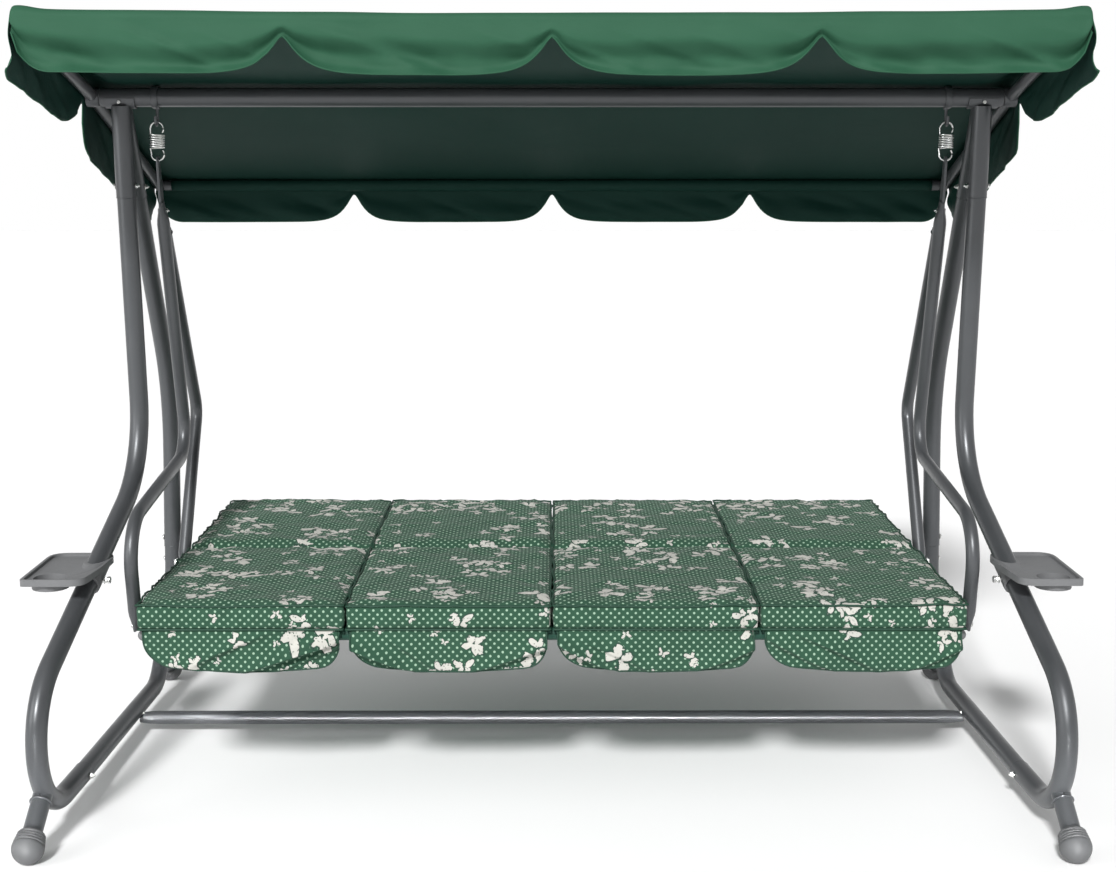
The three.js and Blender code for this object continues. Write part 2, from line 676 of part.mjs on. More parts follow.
addLegs();
addTop();
addCrossbar();
addHooks();
addSprings();
addArms();
addFrame('seat', HINGE_Y - 20, -493, SEAT_PLATE_X, -1);
addFrame('back', HINGE_Y + 20, 672, BACK_PLATE_X, 1);
addCushions();
addCanopyFrame();
addCanopyCover();
addTrays();

// The origin is on the floor, under the middle of the whole bench.
const extent = new THREE.Box3().setFromObject(bench);
bench.position.y = -(extent.min.y + extent.max.y) / 2;

export default bench;
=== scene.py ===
"""Canopy swing bench: steel tubes, sprung seat, printed cushions and a scalloped canopy. Metres, Z up."""
import math

import bmesh
import bpy
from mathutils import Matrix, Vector, noise


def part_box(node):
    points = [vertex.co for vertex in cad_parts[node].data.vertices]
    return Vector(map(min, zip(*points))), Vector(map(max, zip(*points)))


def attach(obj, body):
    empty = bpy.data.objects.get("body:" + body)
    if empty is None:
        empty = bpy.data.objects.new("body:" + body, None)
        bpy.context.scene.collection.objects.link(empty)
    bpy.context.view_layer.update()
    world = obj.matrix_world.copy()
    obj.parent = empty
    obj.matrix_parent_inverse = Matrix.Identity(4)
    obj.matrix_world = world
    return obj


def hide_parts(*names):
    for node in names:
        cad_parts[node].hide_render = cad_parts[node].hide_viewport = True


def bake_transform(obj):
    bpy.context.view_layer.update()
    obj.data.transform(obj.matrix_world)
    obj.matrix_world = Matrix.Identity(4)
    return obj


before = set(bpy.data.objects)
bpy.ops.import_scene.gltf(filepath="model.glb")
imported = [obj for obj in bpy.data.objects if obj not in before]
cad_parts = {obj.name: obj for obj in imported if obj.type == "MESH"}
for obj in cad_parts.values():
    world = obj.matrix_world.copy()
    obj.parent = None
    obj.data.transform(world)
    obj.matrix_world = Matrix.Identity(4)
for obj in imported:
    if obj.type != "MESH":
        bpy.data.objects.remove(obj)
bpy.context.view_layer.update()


# ---------------------------------------------------------------- driving dimensions
def middle(node):
    low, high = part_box(node)
    return (low + high) / 2


BEAM = middle("top_beam")
SIDES = (("right", 1), ("left", -1))
RIGHT = Vector((1, 0, 0))
FORWARD = Vector((0, -1, 0))
UP = Vector((0, 0, 1))

LEG_RADIUS = 0.0235
LOWER_RADIUS = 0.022
ARM_RADIUS = 0.016
CANOPY_RADIUS = 0.015
LEG_TOP_X = 1.062
FRONT_FOOT_X = 1.121
REAR_FOOT_X = 1.090
BASE_Z = 0.060
SLEEVE_END_Z = 1.394
BASE_JOINT = (1.109, -0.430, BASE_Z)
HANG_X = 0.977
LOOP_TOP = 1.580
LOOP_BOTTOM = 1.486
ARM_TOP_Z = 1.380
SEAT_Z = 0.410
ARM_FOOT_Y = -0.403
HINGE = (0.120, 0.435)
CANOPY_X = 1.131
BALL_RADIUS = 0.035

# Corners of the bent tubes at the right-hand side: x, y from the beam, z, bend radius.
FRONT_LEG = [(LEG_TOP_X, 0.013, SLEEVE_END_Z), (LEG_TOP_X - 0.004, 0.052, 0.712, 0.260),
             (FRONT_FOOT_X, -0.737, 0.333, 0.176), (FRONT_FOOT_X, -0.737, BASE_Z, 0.160), BASE_JOINT]
REAR_LEG_UPPER = [(LEG_TOP_X + 0.003, 0.136, SLEEVE_END_Z), (LEG_TOP_X + 0.012, 0.475, 0.841, 0.570),
                  (1.0843, 0.4710, 0.4003)]
REAR_LEG_LOWER = [(1.0841, 0.4711, 0.4250), (LEG_TOP_X + 0.025, 0.470, 0.285, 0.150),
                  (REAR_FOOT_X, 0.247, BASE_Z, 0.120), (BASE_JOINT[0], BASE_JOINT[1] + 0.0004, BASE_Z)]
FRONT_ARM = [(HANG_X, 0.018, ARM_TOP_Z + 0.005), (HANG_X, 0.212, 0.722, 0.085),
             (HANG_X, -0.450, 0.655, 0.110), (HANG_X, ARM_FOOT_Y, SEAT_Z - 0.008)]
REAR_ARM = [(HANG_X, 0.046, ARM_TOP_Z - 0.065), (HANG_X, 0.357, 0.810, 0.060),
            (HANG_X, HINGE[0] - 0.008, HINGE[1] - 0.016)]
CANOPY_SIDE = [(CANOPY_X, -0.5786, 1.7834), (CANOPY_X, 0, 1.640, 0.400), (CANOPY_X, 0.6933, 1.4086)]

# The straight tubes that take each front and rear foot, from the bend to the middle of the ball.
FEET = {
    "front": ((FRONT_FOOT_X, -0.708, 0.112), (FRONT_FOOT_X + 0.003, -0.820, BALL_RADIUS - 0.002)),
    "rear": ((REAR_FOOT_X, 0.322, 0.136), (REAR_FOOT_X + 0.018, 0.478, BALL_RADIUS - 0.002)),
}
# The two sleeves of a corner bracket, each from its top to its open lower end.
SLEEVES = (((LEG_TOP_X, -0.004, 1.620), (LEG_TOP_X, 0.013, SLEEVE_END_Z)),
           ((LEG_TOP_X, 0.004, 1.612), (LEG_TOP_X + 0.003, 0.136, SLEEVE_END_Z)))

BED_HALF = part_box("seat_cushion_4")[1].x
CUSHIONS = 4
CUSHION_PITCH = 2 * BED_HALF / CUSHIONS
BED_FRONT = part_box("seat_cushion_1")[0].y
BED_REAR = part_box("back_cushion_1")[1].y
PAD_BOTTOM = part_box("back_cushion_1")[0].z
PAD_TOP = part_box("back_cushion_1")[1].z
FOLD_Y = BEAM.y + HINGE[0]
CREASE_Y = FOLD_Y - 0.028
CELL = 0.010
PIPE = 0.0026
# Each next cushion is cut this far along and across the printed cloth.
PRINT_STEP = (1.7, 0.9)

FLAP_HEIGHT = PAD_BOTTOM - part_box("seat_cushion_1")[0].z - 0.004
# Width and height of a flap's rounded lower corners, left and right.
FLAP_CORNERS = ((0.085, 0.074), (0.052, 0.062))
# Folds of each flap: place along the hem from -1 to 1, slant, width and depth of the fold.
FLAP_FOLDS = (
    ((0.05, 1.35, 0.120, 0.032), (-0.70, 1.10, 0.11, 0.015), (0.45, 1.00, 0.08, 0.012)),
    ((-0.55, -0.85, 0.120, 0.032), (0.35, 1.20, 0.12, 0.020), (-0.15, -0.60, 0.09, 0.010)),
    ((-0.60, -0.60, 0.110, 0.032), (-0.10, -0.90, 0.10, 0.013), (0.55, 0.90, 0.11, 0.018)),
    ((0.20, -1.00, 0.110, 0.020), (-0.45, -0.70, 0.10, 0.016), (0.60, 0.80, 0.10, 0.017)),
)

# The canopy's cover: half width, radius over its tubes, tubes and ridge as (y from the beam, z), borders.
SHEET_HALF = 1.146
SHEET_ROLL = 0.0178
FRONT_TUBE = (-0.565, 1.780)
RIDGE = (0.0, 1.672)
REAR_TUBE = (0.680, 1.413)
FRONT_DROP = 0.1125
REAR_DROP = 0.104
TABS = 4


def place(x, y, z, side=1):
    """A point from its distance to the middle plane, its distance behind the beam and its height."""
    return Vector((side * x, BEAM.y + y, z))


def smooth_step(share):
    """0 to 1 with soft ends."""
    held = max(0.0, min(1.0, share))
    return held * held * (3 - 2 * held)


# ---------------------------------------------------------------- materials
def new_material(name):
    """A new material, its node tree and its main shader."""
    material = bpy.data.materials.new(name)
    material.use_nodes = True
    tree = material.node_tree
    return material, tree, tree.nodes["Principled BSDF"]


def set_inputs(tree, node, inputs):
    """Sets inputs by name or number, each from a number, a colour, a vector or another node's socket."""
    for name, value in inputs.items():
        socket = node.inputs[name]
        if isinstance(value, (int, float)):
            socket.default_value = value
        elif isinstance(value, tuple):
            socket.default_value = (*value, 1)[:len(socket.default_value)]
        else:
            tree.links.new(value, socket)


def add_node(tree, kind, inputs, **settings):
    """The outputs of a new node of one kind."""
    node = tree.nodes.new(f"ShaderNode{kind}")
    for name, value in settings.items():
        setattr(node, name, value)
    set_inputs(tree, node, inputs)
    return node.outputs


def math_node(tree, operation, *values):
    """One arithmetic node; each value is a number or a socket."""
    return add_node(tree, "Math", dict(enumerate(values)), operation=operation)[0]


def times(tree, first, second):
    return math_node(tree, "MULTIPLY", first, second)


def vector_node(tree, operation, first, second):
    return add_node(tree, "VectorMath", {0: first, 1: second}, operation=operation)[0]


def ramp(tree, value, low, high, start=0.0, end=1.0):
    """A smooth change from start to end as value goes from low to high."""
    inputs = {"Value": value, "From Min": low, "From Max": high, "To Min": start, "To Max": end}
    return add_node(tree, "MapRange", inputs, interpolation_type="SMOOTHSTEP")["Result"]


def blend_colours(tree, share, first, second):
    """Mixes two colours, each a tuple or a socket, by share."""
    return add_node(tree, "Mix", {"Factor": share, 6: first, 7: second}, data_type="RGBA")[2]


def noise_value(tree, vector, scale, detail=3.0):
    inputs = {"Vector": vector, "Scale": scale, "Detail": detail, "Roughness": 0.55}
    return add_node(tree, "TexNoise", inputs)["Fac"]


def cells(tree, vector, pitch, randomness):
    """Points scattered one to a cell: the distance to the nearest, its place and its random colour."""
    inputs = {"Vector": vector, "Scale": 1 / pitch, "Randomness": randomness}
    return add_node(tree, "TexVoronoi", inputs, voronoi_dimensions="2D")


def bump(tree, height, strength, distance, under=None):
    """The surface direction for a relief, on top of another relief's when one is given."""
    inputs = {"Height": height, "Strength": strength, "Distance": distance}
    if under is not None:
        inputs["Normal"] = under
    return add_node(tree, "Bump", inputs)["Normal"]


def object_point(tree):
    return add_node(tree, "TexCoord", {})["Object"]


def powder_coat():
    """Satin grey powder coat: fine orange peel, faint cloudiness and paler flecks."""
    material, tree, shader = new_material("powder_coat")
    point = object_point(tree)
    cloud = noise_value(tree, point, 7.0, 4.0)
    fleck = noise_value(tree, point, 900.0, 2.0)
    grey = blend_colours(tree, cloud, (0.062, 0.066, 0.071), (0.083, 0.087, 0.092))
    colour = blend_colours(tree, ramp(tree, fleck, 0.55, 0.75, 0.0, 0.35), grey, (0.19, 0.195, 0.20))
    peel = noise_value(tree, point, 420.0, 2.0)
    set_inputs(tree, shader, {"Base Color": colour, "Metallic": 0.35,
                              "Roughness": ramp(tree, cloud, 0.3, 0.7, 0.30, 0.42),
                              "Normal": bump(tree, peel, 0.12, 0.0005)})
    return material


def zinc():
    """Bright zinc plating with faint blue and straw patches and fine draw lines."""
    material, tree, shader = new_material("zinc_plate")
    point = object_point(tree)
    patch = noise_value(tree, point, 60.0, 3.0)
    colour = blend_colours(tree, patch, (0.72, 0.75, 0.78), (0.84, 0.82, 0.76))
    lines = noise_value(tree, point, 1500.0, 1.0)
    set_inputs(tree, shader, {"Base Color": colour, "Metallic": 1.0,
                              "Roughness": ramp(tree, patch, 0.3, 0.7, 0.2, 0.36),
                              "Normal": bump(tree, lines, 0.1, 0.0002)})
    return material


def moulded_plastic(name, dark, light):
    """Matte injection-moulded plastic with a fine grain."""
    material, tree, shader = new_material(name)
    point = object_point(tree)
    cloud = noise_value(tree, point, 12.0, 3.0)
    grain = noise_value(tree, point, 1300.0, 2.0)
    set_inputs(tree, shader, {"Base Color": blend_colours(tree, cloud, dark, light),
                              "Roughness": ramp(tree, grain, 0.3, 0.7, 0.48, 0.62),
                              "Normal": bump(tree, grain, 0.25, 0.0003)})
    return material


def cloth_point(tree):
    """The cloth's own coordinates in metres: together, and split into across and along."""
    uv = add_node(tree, "UVMap", {}, uv_map="cloth")["UV"]
    split = add_node(tree, "SeparateXYZ", {0: uv})
    return uv, split[0], split[1]


def weave_height(tree, across, along, pitch):
    """Plain weave: threads of two directions that pass over and under each other."""
    turn = 2 * math.pi / pitch
    warp = math_node(tree, "SINE", times(tree, across, turn))
    weft = math_node(tree, "SINE", times(tree, along, turn))
    return times(tree, warp, weft)


def wing(tree, across, along, centre, radii, turn):
    """How deep a point lies in a turned ellipse: below 1 inside, above 1 outside."""
    cosine, sine = math.cos(turn), math.sin(turn)
    dx = math_node(tree, "SUBTRACT", across, centre[0])
    dy = math_node(tree, "SUBTRACT", along, centre[1])
    first = math_node(tree, "ADD", times(tree, dx, cosine / radii[0]), times(tree, dy, sine / radii[0]))
    second = math_node(tree, "SUBTRACT", times(tree, dy, cosine / radii[1]), times(tree, dx, sine / radii[1]))
    return math_node(tree, "MULTIPLY_ADD", second, second, times(tree, first, first))


def scatter(tree, uv, cell, offset):
    """Scattered, turned places: a point seen from the nearest one, where that one is, and its dice."""
    shift = (offset, offset * 0.7, 0)
    shifted = vector_node(tree, "ADD", uv, shift)
    nearest = cells(tree, shifted, cell, 0.8)
    away = vector_node(tree, "SUBTRACT", shifted, nearest["Position"])
    dice = add_node(tree, "SeparateColor", {0: nearest["Color"]})
    turn = {"Vector": away, "Angle": times(tree, dice[0], 2 * math.pi)}
    turned = add_node(tree, "VectorRotate", turn, rotation_type="Z_AXIS")[0]
    seen = add_node(tree, "SeparateXYZ", {0: turned})
    return seen, vector_node(tree, "SUBTRACT", nearest["Position"], shift), dice


def butterflies(tree, uv, cell, size, share, offset):
    """Masks of butterflies gathered in groups: their white wings, and the dark cloth round them."""
    seen, home, dice = scatter(tree, uv, cell, offset)
    scale = ramp(tree, dice[1], 0.0, 1.0, 1.4 / size, 0.85 / size)
    ragged = math_node(tree, "MULTIPLY_ADD", noise_value(tree, uv, 4.5 / size, 3.0), 0.34, -0.17)
    across = math_node(tree, "ABSOLUTE", math_node(tree, "MULTIPLY_ADD", seen[0], scale, ragged))
    along = math_node(tree, "MULTIPLY_ADD", seen[1], scale, ragged)
    upper = wing(tree, across, along, (0.29, 0.16), (0.29, 0.15), 0.70)
    lower = wing(tree, across, along, (0.17, -0.17), (0.19, 0.12), -0.85)
    edge = math_node(tree, "SMOOTH_MIN", upper, lower, 0.1)
    present = group_mask(tree, home, dice[2], share)
    white = times(tree, ramp(tree, edge, 0.86, 1.0, 1.0, 0.0), present)
    halo = times(tree, ramp(tree, edge, 1.3, 2.1, 1.0, 0.0), present)
    body = ramp(tree, across, 0.025, 0.05, 1.0, 0.0)
    veins = ramp(tree, noise_value(tree, uv, 9.0 / size, 2.0), 0.60, 0.68, 0.0, 0.8)
    dark = math_node(tree, "MAXIMUM", body, veins)
    return times(tree, white, math_node(tree, "SUBTRACT", 1.0, dark)), halo


def group_mask(tree, point, dice, share):
    """1 for the butterflies that are printed: many near a group's middle, and few between the groups."""
    groups = cells(tree, point, 0.235, 0.7)
    near = ramp(tree, groups["Distance"], 0.24, 0.42, share, share * 0.13)
    return math_node(tree, "LESS_THAN", dice, near)


def dots(tree, across, along, pitch, radius):
    """Round dots in rows that are half a pitch out of step."""
    masks = []
    for shift in (0.0, 0.5):
        u, v = (math_node(tree, "WRAP", math_node(tree, "ADD", way, shift * pitch), pitch / 2, -pitch / 2)
                for way in (across, along))
        distance = math_node(tree, "SQRT", math_node(tree, "MULTIPLY_ADD", u, u, times(tree, v, v)))
        masks.append(ramp(tree, distance, radius * 0.8, radius * 1.15, 1.0, 0.0))
    return math_node(tree, "MAXIMUM", *masks)


def cushion_print():
    """Green cotton with white dots and loose groups of white butterflies."""
    material, tree, shader = new_material("cushion_print")
    uv, across, along = cloth_point(tree)
    cloud = noise_value(tree, uv, 9.0, 3.0)
    thread = noise_value(tree, uv, 700.0, 2.0)
    green = blend_colours(tree, cloud, (0.014, 0.060, 0.032), (0.022, 0.084, 0.046))
    green = blend_colours(tree, ramp(tree, thread, 0.35, 0.7, 0.0, 0.45), green, (0.008, 0.038, 0.021))
    sizes = ((0.070, 0.064, 0.62, 5.3), (0.052, 0.042, 0.50, 11.7), (0.050, 0.024, 0.55, 23.9))
    wings, halos = zip(*(butterflies(tree, uv, *numbers) for numbers in sizes))
    halo = math_node(tree, "MAXIMUM", math_node(tree, "MAXIMUM", halos[0], halos[1]), halos[2])
    clear = math_node(tree, "SUBTRACT", 1.0, halo)
    spots = times(tree, dots(tree, across, along, 0.019, 0.0028), clear)
    colour = blend_colours(tree, times(tree, spots, 0.85), green, (0.32, 0.47, 0.35))
    strokes = ramp(tree, noise_value(tree, uv, 240.0, 2.0), 0.44, 0.56, 0.15, 0.85)
    colour = blend_colours(tree, times(tree, halo, strokes), colour, (0.010, 0.028, 0.024))
    for white in wings:
        colour = blend_colours(tree, times(tree, white, 0.95), colour, (0.52, 0.51, 0.47))
    rumple = bump(tree, noise_value(tree, uv, 8.0, 2.0), 0.7, 0.030)
    crumple = bump(tree, noise_value(tree, uv, 30.0, 5.0), 0.5, 0.007, rumple)
    weave = bump(tree, weave_height(tree, across, along, 0.0013), 0.35, 0.0003, crumple)
    set_inputs(tree, shader, {"Base Color": colour, "Roughness": 0.9, "Sheen Weight": 0.04, "Normal": weave})
    return material


def plain_cloth(name, dark, light, pitch, crumple_size, crumple=0.35, shine=0.4):
    """One-coloured woven cloth: thread noise, weave and soft creases."""
    material, tree, shader = new_material(name)
    uv, across, along = cloth_point(tree)
    colour = blend_colours(tree, noise_value(tree, uv, 4.0, 4.0), dark, light)
    thread = ramp(tree, noise_value(tree, uv, 600.0, 2.0), 0.35, 0.7, 0.0, 0.35)
    colour = blend_colours(tree, thread, colour, tuple(c * 0.7 for c in dark))
    crease = bump(tree, noise_value(tree, uv, crumple_size, 5.0), crumple, 0.006)
    weave = bump(tree, weave_height(tree, across, along, pitch), 0.3, 0.0002, crease)
    set_inputs(tree, shader, {"Base Color": colour, "Roughness": 0.62, "Specular IOR Level": shine,
                              "Normal": weave})
    return material


METAL = powder_coat()
ZINC = zinc()
PLASTIC = moulded_plastic("moulded_plastic", (0.125, 0.128, 0.132), (0.165, 0.168, 0.172))
FOOT = moulded_plastic("foot_plastic", (0.070, 0.072, 0.075), (0.098, 0.100, 0.103))
# Black plastic of the wing nuts; on the foot tubes the same near-black paints the shade inside the open
# slots.
BLACK_AND_SLOT_SHADE = moulded_plastic("black_plastic_and_slot_shade", (0.012, 0.013, 0.014), (0.022, 0.023, 0.025))
PRINT = cushion_print()
PIPING = plain_cloth("piping_cloth", (0.008, 0.040, 0.023), (0.013, 0.060, 0.034), 0.0012, 60.0)
SLING = plain_cloth("sling_cloth", (0.012, 0.060, 0.040), (0.020, 0.090, 0.060), 0.003, 20.0)
CANOPY = plain_cloth("canopy_cloth", (0.018, 0.074, 0.040), (0.030, 0.106, 0.060), 0.0011, 9.0, 0.55, 0.15)
# Much darker green for the cover's inner shell and the tube pockets: painted shade of the canopy's underside,
# not a coating of the real cloth.
UNDERSIDE_SHADE = plain_cloth("canopy_underside_shade", (0.005, 0.027, 0.020), (0.008, 0.037, 0.028), 0.0011, 9.0, 0.3, 0.12)


# ---------------------------------------------------------------- mesh helpers
def add_piece(name, shapes, materials, body=None, replaces=(), sharp=35, uvs=None):
    """One object from (vertices, faces, material number) shapes, smooth except at sharp edges."""
    vertices, faces, numbers = [], [], []
    for points, polygons, number in shapes:
        start = len(vertices)
        vertices.extend(points)
        faces.extend([tuple(start + i for i in face) for face in polygons])
        numbers.extend([number] * len(polygons))
    mesh = bpy.data.meshes.new(name)
    mesh.from_pydata([tuple(v) for v in vertices], [], faces)
    for material in materials:
        mesh.materials.append(material)
    mesh.polygons.foreach_set("material_index", numbers)
    mesh.polygons.foreach_set("use_smooth", [True] * len(faces))
    layer = mesh.uv_layers.new(name="cloth")
    if uvs is None:
        box_uv(mesh, layer)
    else:
        for polygon, corners in zip(mesh.polygons, uvs):
            for loop, corner in zip(polygon.loop_indices, corners):
                layer.data[loop].uv = corner
    mesh.update()
    if sharp is not None:
        mesh.set_sharp_from_angle(angle=math.radians(sharp))
    piece = bpy.data.objects.new(name, mesh)
    bpy.context.scene.collection.objects.link(piece)
    if body is not None:
        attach(piece, body)
    if replaces:
        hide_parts(*replaces)
    return piece


def box_uv(mesh, layer):
    """Coordinates in metres seen along each face's main direction."""
    for polygon in mesh.polygons:
        normal = [abs(c) for c in polygon.normal]
        main = normal.index(max(normal))
        u, v = ((1, 2), (0, 2), (0, 1))[main]
        for loop in polygon.loop_indices:
            co = mesh.vertices[mesh.loops[loop].vertex_index].co
            layer.data[loop].uv = (co[u], co[v])


def straight(start, end, steps):
    """Evenly spaced points from start to end."""
    return [start.lerp(end, i / steps) for i in range(steps + 1)]


def arc(centre, radius, start, end, steps):
    """Points of a round in a flat view, from one angle in degrees to another."""
    out = []
    for i in range(steps + 1):
        angle = math.radians(start + (end - start) * i / steps)
        out.append((centre[0] + radius * math.cos(angle), centre[1] + radius * math.sin(angle)))
    return out


def running_length(points):
    """The distance along a line at each of its points."""
    lengths = [0.0]
    for a, b in zip(points, points[1:]):
        lengths.append(lengths[-1] + math.dist(a, b))
    return lengths


def bent_line(corners, side=1, step=0.07, spacing=0.03):
    """Points on straight runs joined by round bends; a corner is x, y, z and its bend radius."""
    points = [place(*corner[:3], side) for corner in corners]
    line = [points[0]]
    for before, corner, after, spec in zip(points, points[1:], points[2:], corners[1:]):
        arrive = (corner - before).normalized()
        leave = (after - corner).normalized()
        turn = arrive.angle(leave)
        trim = spec[3] * math.tan(turn / 2)
        start, end = corner - arrive * trim, corner + leave * trim
        centre = corner + (leave - arrive).normalized() * (spec[3] / math.cos(turn / 2))
        count = max(3, round(turn / step))
        for i in range(count + 1):
            near = math.sin(turn * (1 - i / count)) / math.sin(turn)
            far = math.sin(turn * i / count) / math.sin(turn)
            line.append(centre + (start - centre) * near + (end - centre) * far)
    line.append(points[-1])
    dense = [line[0]]
    for a, b in zip(line, line[1:]):
        parts = max(1, math.ceil((b - a).length / spacing))
        dense.extend(a.lerp(b, (i + 1) / parts) for i in range(parts))
    return dense


def sweep(line, radius, across=RIGHT, sides=24, number=0, closed=False):
    """A round or oval tube along a line.

    radius is one number, or a function of the distance and the whole length that gives the radius across
    and the radius the other way.
    """
    count = len(line)
    lengths = running_length(line)
    vertices, faces = [], []
    for i, point in enumerate(line):
        ahead = line[(i + 1) % count] if closed else line[min(i + 1, count - 1)]
        behind = line[i - 1] if closed else line[max(i - 1, 0)]
        tangent = (ahead - behind).normalized()
        first = (across - tangent * across.dot(tangent)).normalized()
        second = tangent.cross(first)
        wide, high = (radius, radius) if isinstance(radius, float) else radius(lengths[i], lengths[-1])
        for x, y in arc((0, 0), 1, 0, 360, sides)[:-1]:
            vertices.append(point + first * (wide * x) + second * (high * y))
    for i in range(count if closed else count - 1):
        here, there = i * sides, ((i + 1) % count) * sides
        for k in range(sides):
            j = (k + 1) % sides
            faces.append((here + k, here + j, there + j, there + k))
    if not closed:
        faces.append(tuple(reversed(range(sides))))
        faces.append(tuple(range((count - 1) * sides, count * sides)))
    return vertices, faces, number


def lathe(profile, base, direction, steps=32, number=0):
    """Turns (radius, height) points round an axis that starts at base. The first and last lie on it."""
    direction = direction.normalized()
    helper = UP if abs(direction.z) < 0.9 else RIGHT
    first = direction.cross(helper).normalized()
    second = direction.cross(first)
    vertices, faces, rings = [], [], []
    for radius, height in profile:
        centre = base + direction * height
        if radius < 1e-7:
            rings.append([len(vertices)])
            vertices.append(centre)
            continue
        rings.append(list(range(len(vertices), len(vertices) + steps)))
        vertices += [centre + first * x + second * y for x, y in arc((0, 0), radius, 0, 360, steps)[:-1]]
    for low, high in zip(rings, rings[1:]):
        for k in range(steps):
            j = (k + 1) % steps
            face = [low[k % len(low)], low[j % len(low)], high[j % len(high)], high[k % len(high)]]
            kept = [v for n, v in enumerate(face) if v not in face[:n]]
            if len(kept) > 2:
                faces.append(tuple(kept))
    return vertices, faces, number


def ring(radius, thick, centre, direction):
    """A rounded bead, such as a weld, round an axis."""
    inside, low, high = radius - thick, -thick * 0.9, thick * 0.9
    profile = [(0, low), (inside, low), *arc((radius, 0), thick, -90, 90, 8), (inside, high), (0, high)]
    return lathe(profile, centre, direction)


def hexagon(base, direction, across_flats, height, number=0):
    radius = across_flats / math.sqrt(3)
    profile = [(0, 0), (radius * 0.96, 0), (radius, height * 0.12), (radius, height * 0.8),
               (radius * 0.9, height), (0, height)]
    return lathe(profile, base, direction, 6, number)


def disc(base, direction, radius, height, number=0):
    soft = min(height * 0.3, 0.0008)
    profile = [(0, 0), (radius - soft, 0), (radius, soft), (radius, height - soft),
               (radius - soft, height), (0, height)]
    return lathe(profile, base, direction, 24, number)


def plate(outlines):
    """A closed solid through equally long outlines: walls between them and a face at each end."""
    count = len(outlines[0])
    last = (len(outlines) - 1) * count
    faces = []
    for a in range(0, last, count):
        for k in range(count):
            j = (k + 1) % count
            faces.append((a + k, a + count + k, a + count + j, a + j))
    faces.append(tuple(range(count)))
    faces.append(tuple(reversed(range(last, last + count))))
    return [point for outline in outlines for point in outline], faces, 0


WASHER = 0.0012


def bolt(start, end, size=0.006, number=1, nut=True, dome=False):
    """A bolt from its head at start to its nut at end, with a washer under each."""
    way = (end - start).normalized()
    head = start - way * WASHER
    parts = [disc(head, way, size * 1.25, WASHER, number)]
    if dome:
        profile = [(0, 0), (size, 0), (size * 0.93, size * 0.3), (size * 0.6, size * 0.6), (0, size * 0.72)]
        parts.append(lathe(profile, head, -way, 24, number))
    else:
        parts.append(hexagon(head, -way, size * 1.7, size * 0.62, number))
    parts.append(disc(start, way, size * 0.5, (end - start).length, number))
    if nut:
        under_nut = end + way * WASHER
        parts.append(disc(end, way, size * 1.25, WASHER, number))
        parts.append(hexagon(under_nut, way, size * 1.7, size * 0.85, number))
        parts.append(disc(under_nut, way, size * 0.48, size * 1.5, number))
    return parts


def plug(end, outward, radius):
    """A shallow domed plastic plug in the end of a tube."""
    profile = [(0, -0.004), (radius * 0.98, -0.004), (radius * 1.03, 0.0), (radius * 0.95, 0.0022),
               (radius * 0.6, 0.0042), (0, 0.005)]
    return lathe(profile, end, outward, 28, 1)


def refined(node, material, bevel, body):
    """A copy of a plain CAD node with its edges rounded."""
    mesh = bpy.data.meshes.new(f"{node}_fine")
    work = bmesh.new()
    work.from_mesh(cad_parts[node].data)
    bmesh.ops.remove_doubles(work, verts=work.verts, dist=1e-5)
    bmesh.ops.dissolve_limit(work, angle_limit=math.radians(2), verts=work.verts, edges=work.edges)
    work.to_mesh(mesh)
    work.free()
    mesh.materials.clear()
    mesh.materials.append(material)
    piece = bpy.data.objects.new(f"{node}_fine", mesh)
    bpy.context.scene.collection.objects.link(piece)
    edges = piece.modifiers.new("Bevel", "BEVEL")
    edges.width = bevel
    edges.segments = 3
    edges.limit_method = "ANGLE"
    edges.angle_limit = math.radians(38)
    mesh.polygons.foreach_set("use_smooth", [True] * len(mesh.polygons))
    mesh.set_sharp_from_angle(angle=math.radians(50))
    layer = mesh.uv_layers.get("cloth") or mesh.uv_layers.new(name="cloth")
    box_uv(mesh, layer)
    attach(piece, body)
    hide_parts(node)
    return piece


def straight_tube(node, body):
    """A smooth tube with plugged ends in place of a straight CAD tube."""
    low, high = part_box(node)
    size = high - low
    axis = max(range(3), key=lambda i: size[i])
    radius = sorted(size)[1] / 2
    start, end = (low + high) / 2, (low + high) / 2
    start[axis], end[axis] = low[axis] + 0.001, high[axis] - 0.001
    way = (end - start).normalized()
    shapes = [sweep(straight(start, end, 40), radius, UP, 32)]
    shapes += [plug(start, -way, radius - 0.0012), plug(end, way, radius - 0.0012)]
    return add_piece(f"{node}_round", shapes, [METAL, PLASTIC], body, [node])


# ---------------------------------------------------------------- stand
def flattened(radius, thin, wide, reach, at_end=False):
    """A tube radius that flattens across X near one end, as a pressed tube end does."""
    def section(distance, total):
        share = smooth_step(((total - distance) if at_end else distance) / reach)
        return thin + (radius - thin) * share, wide + (radius - wide) * share
    return section


def foot_stub(root, ball, radius):
    """The short tube into a ball foot, with the weld at its root."""
    bead = ring(radius * 1.02, 0.0028, root.lerp(ball, 0.16), ball - root)
    return [sweep(straight(root, ball, 12)[:-1], radius, sides=28), bead]


def ball_foot(root, ball):
    """A ball whose upper half is a ribbed collar, flat underneath where it stands."""
    above_middle = math.degrees(0.1)
    profile = [(0, -BALL_RADIUS)] + arc((0, 0), BALL_RADIUS, -90, above_middle, 12)[1:]
    for rib in range(4):
        base = 0.0065 + rib * 0.0068
        wide = BALL_RADIUS - 0.0008 - rib * 0.0011
        profile += [(wide - 0.0013, base), (wide, base + 0.0012), (wide - 0.0002, base + 0.0046),
                    (wide - 0.0015, base + 0.0058)]
    profile += [(0.0285, 0.0345), (0.0265, 0.0365), (0.0225, 0.0368), (0, 0.0368)]
    vertices, faces, number = lathe(profile, ball, root - ball, 44)
    for vertex in vertices:
        vertex.z = max(vertex.z, 0.0)
    return vertices, faces, number


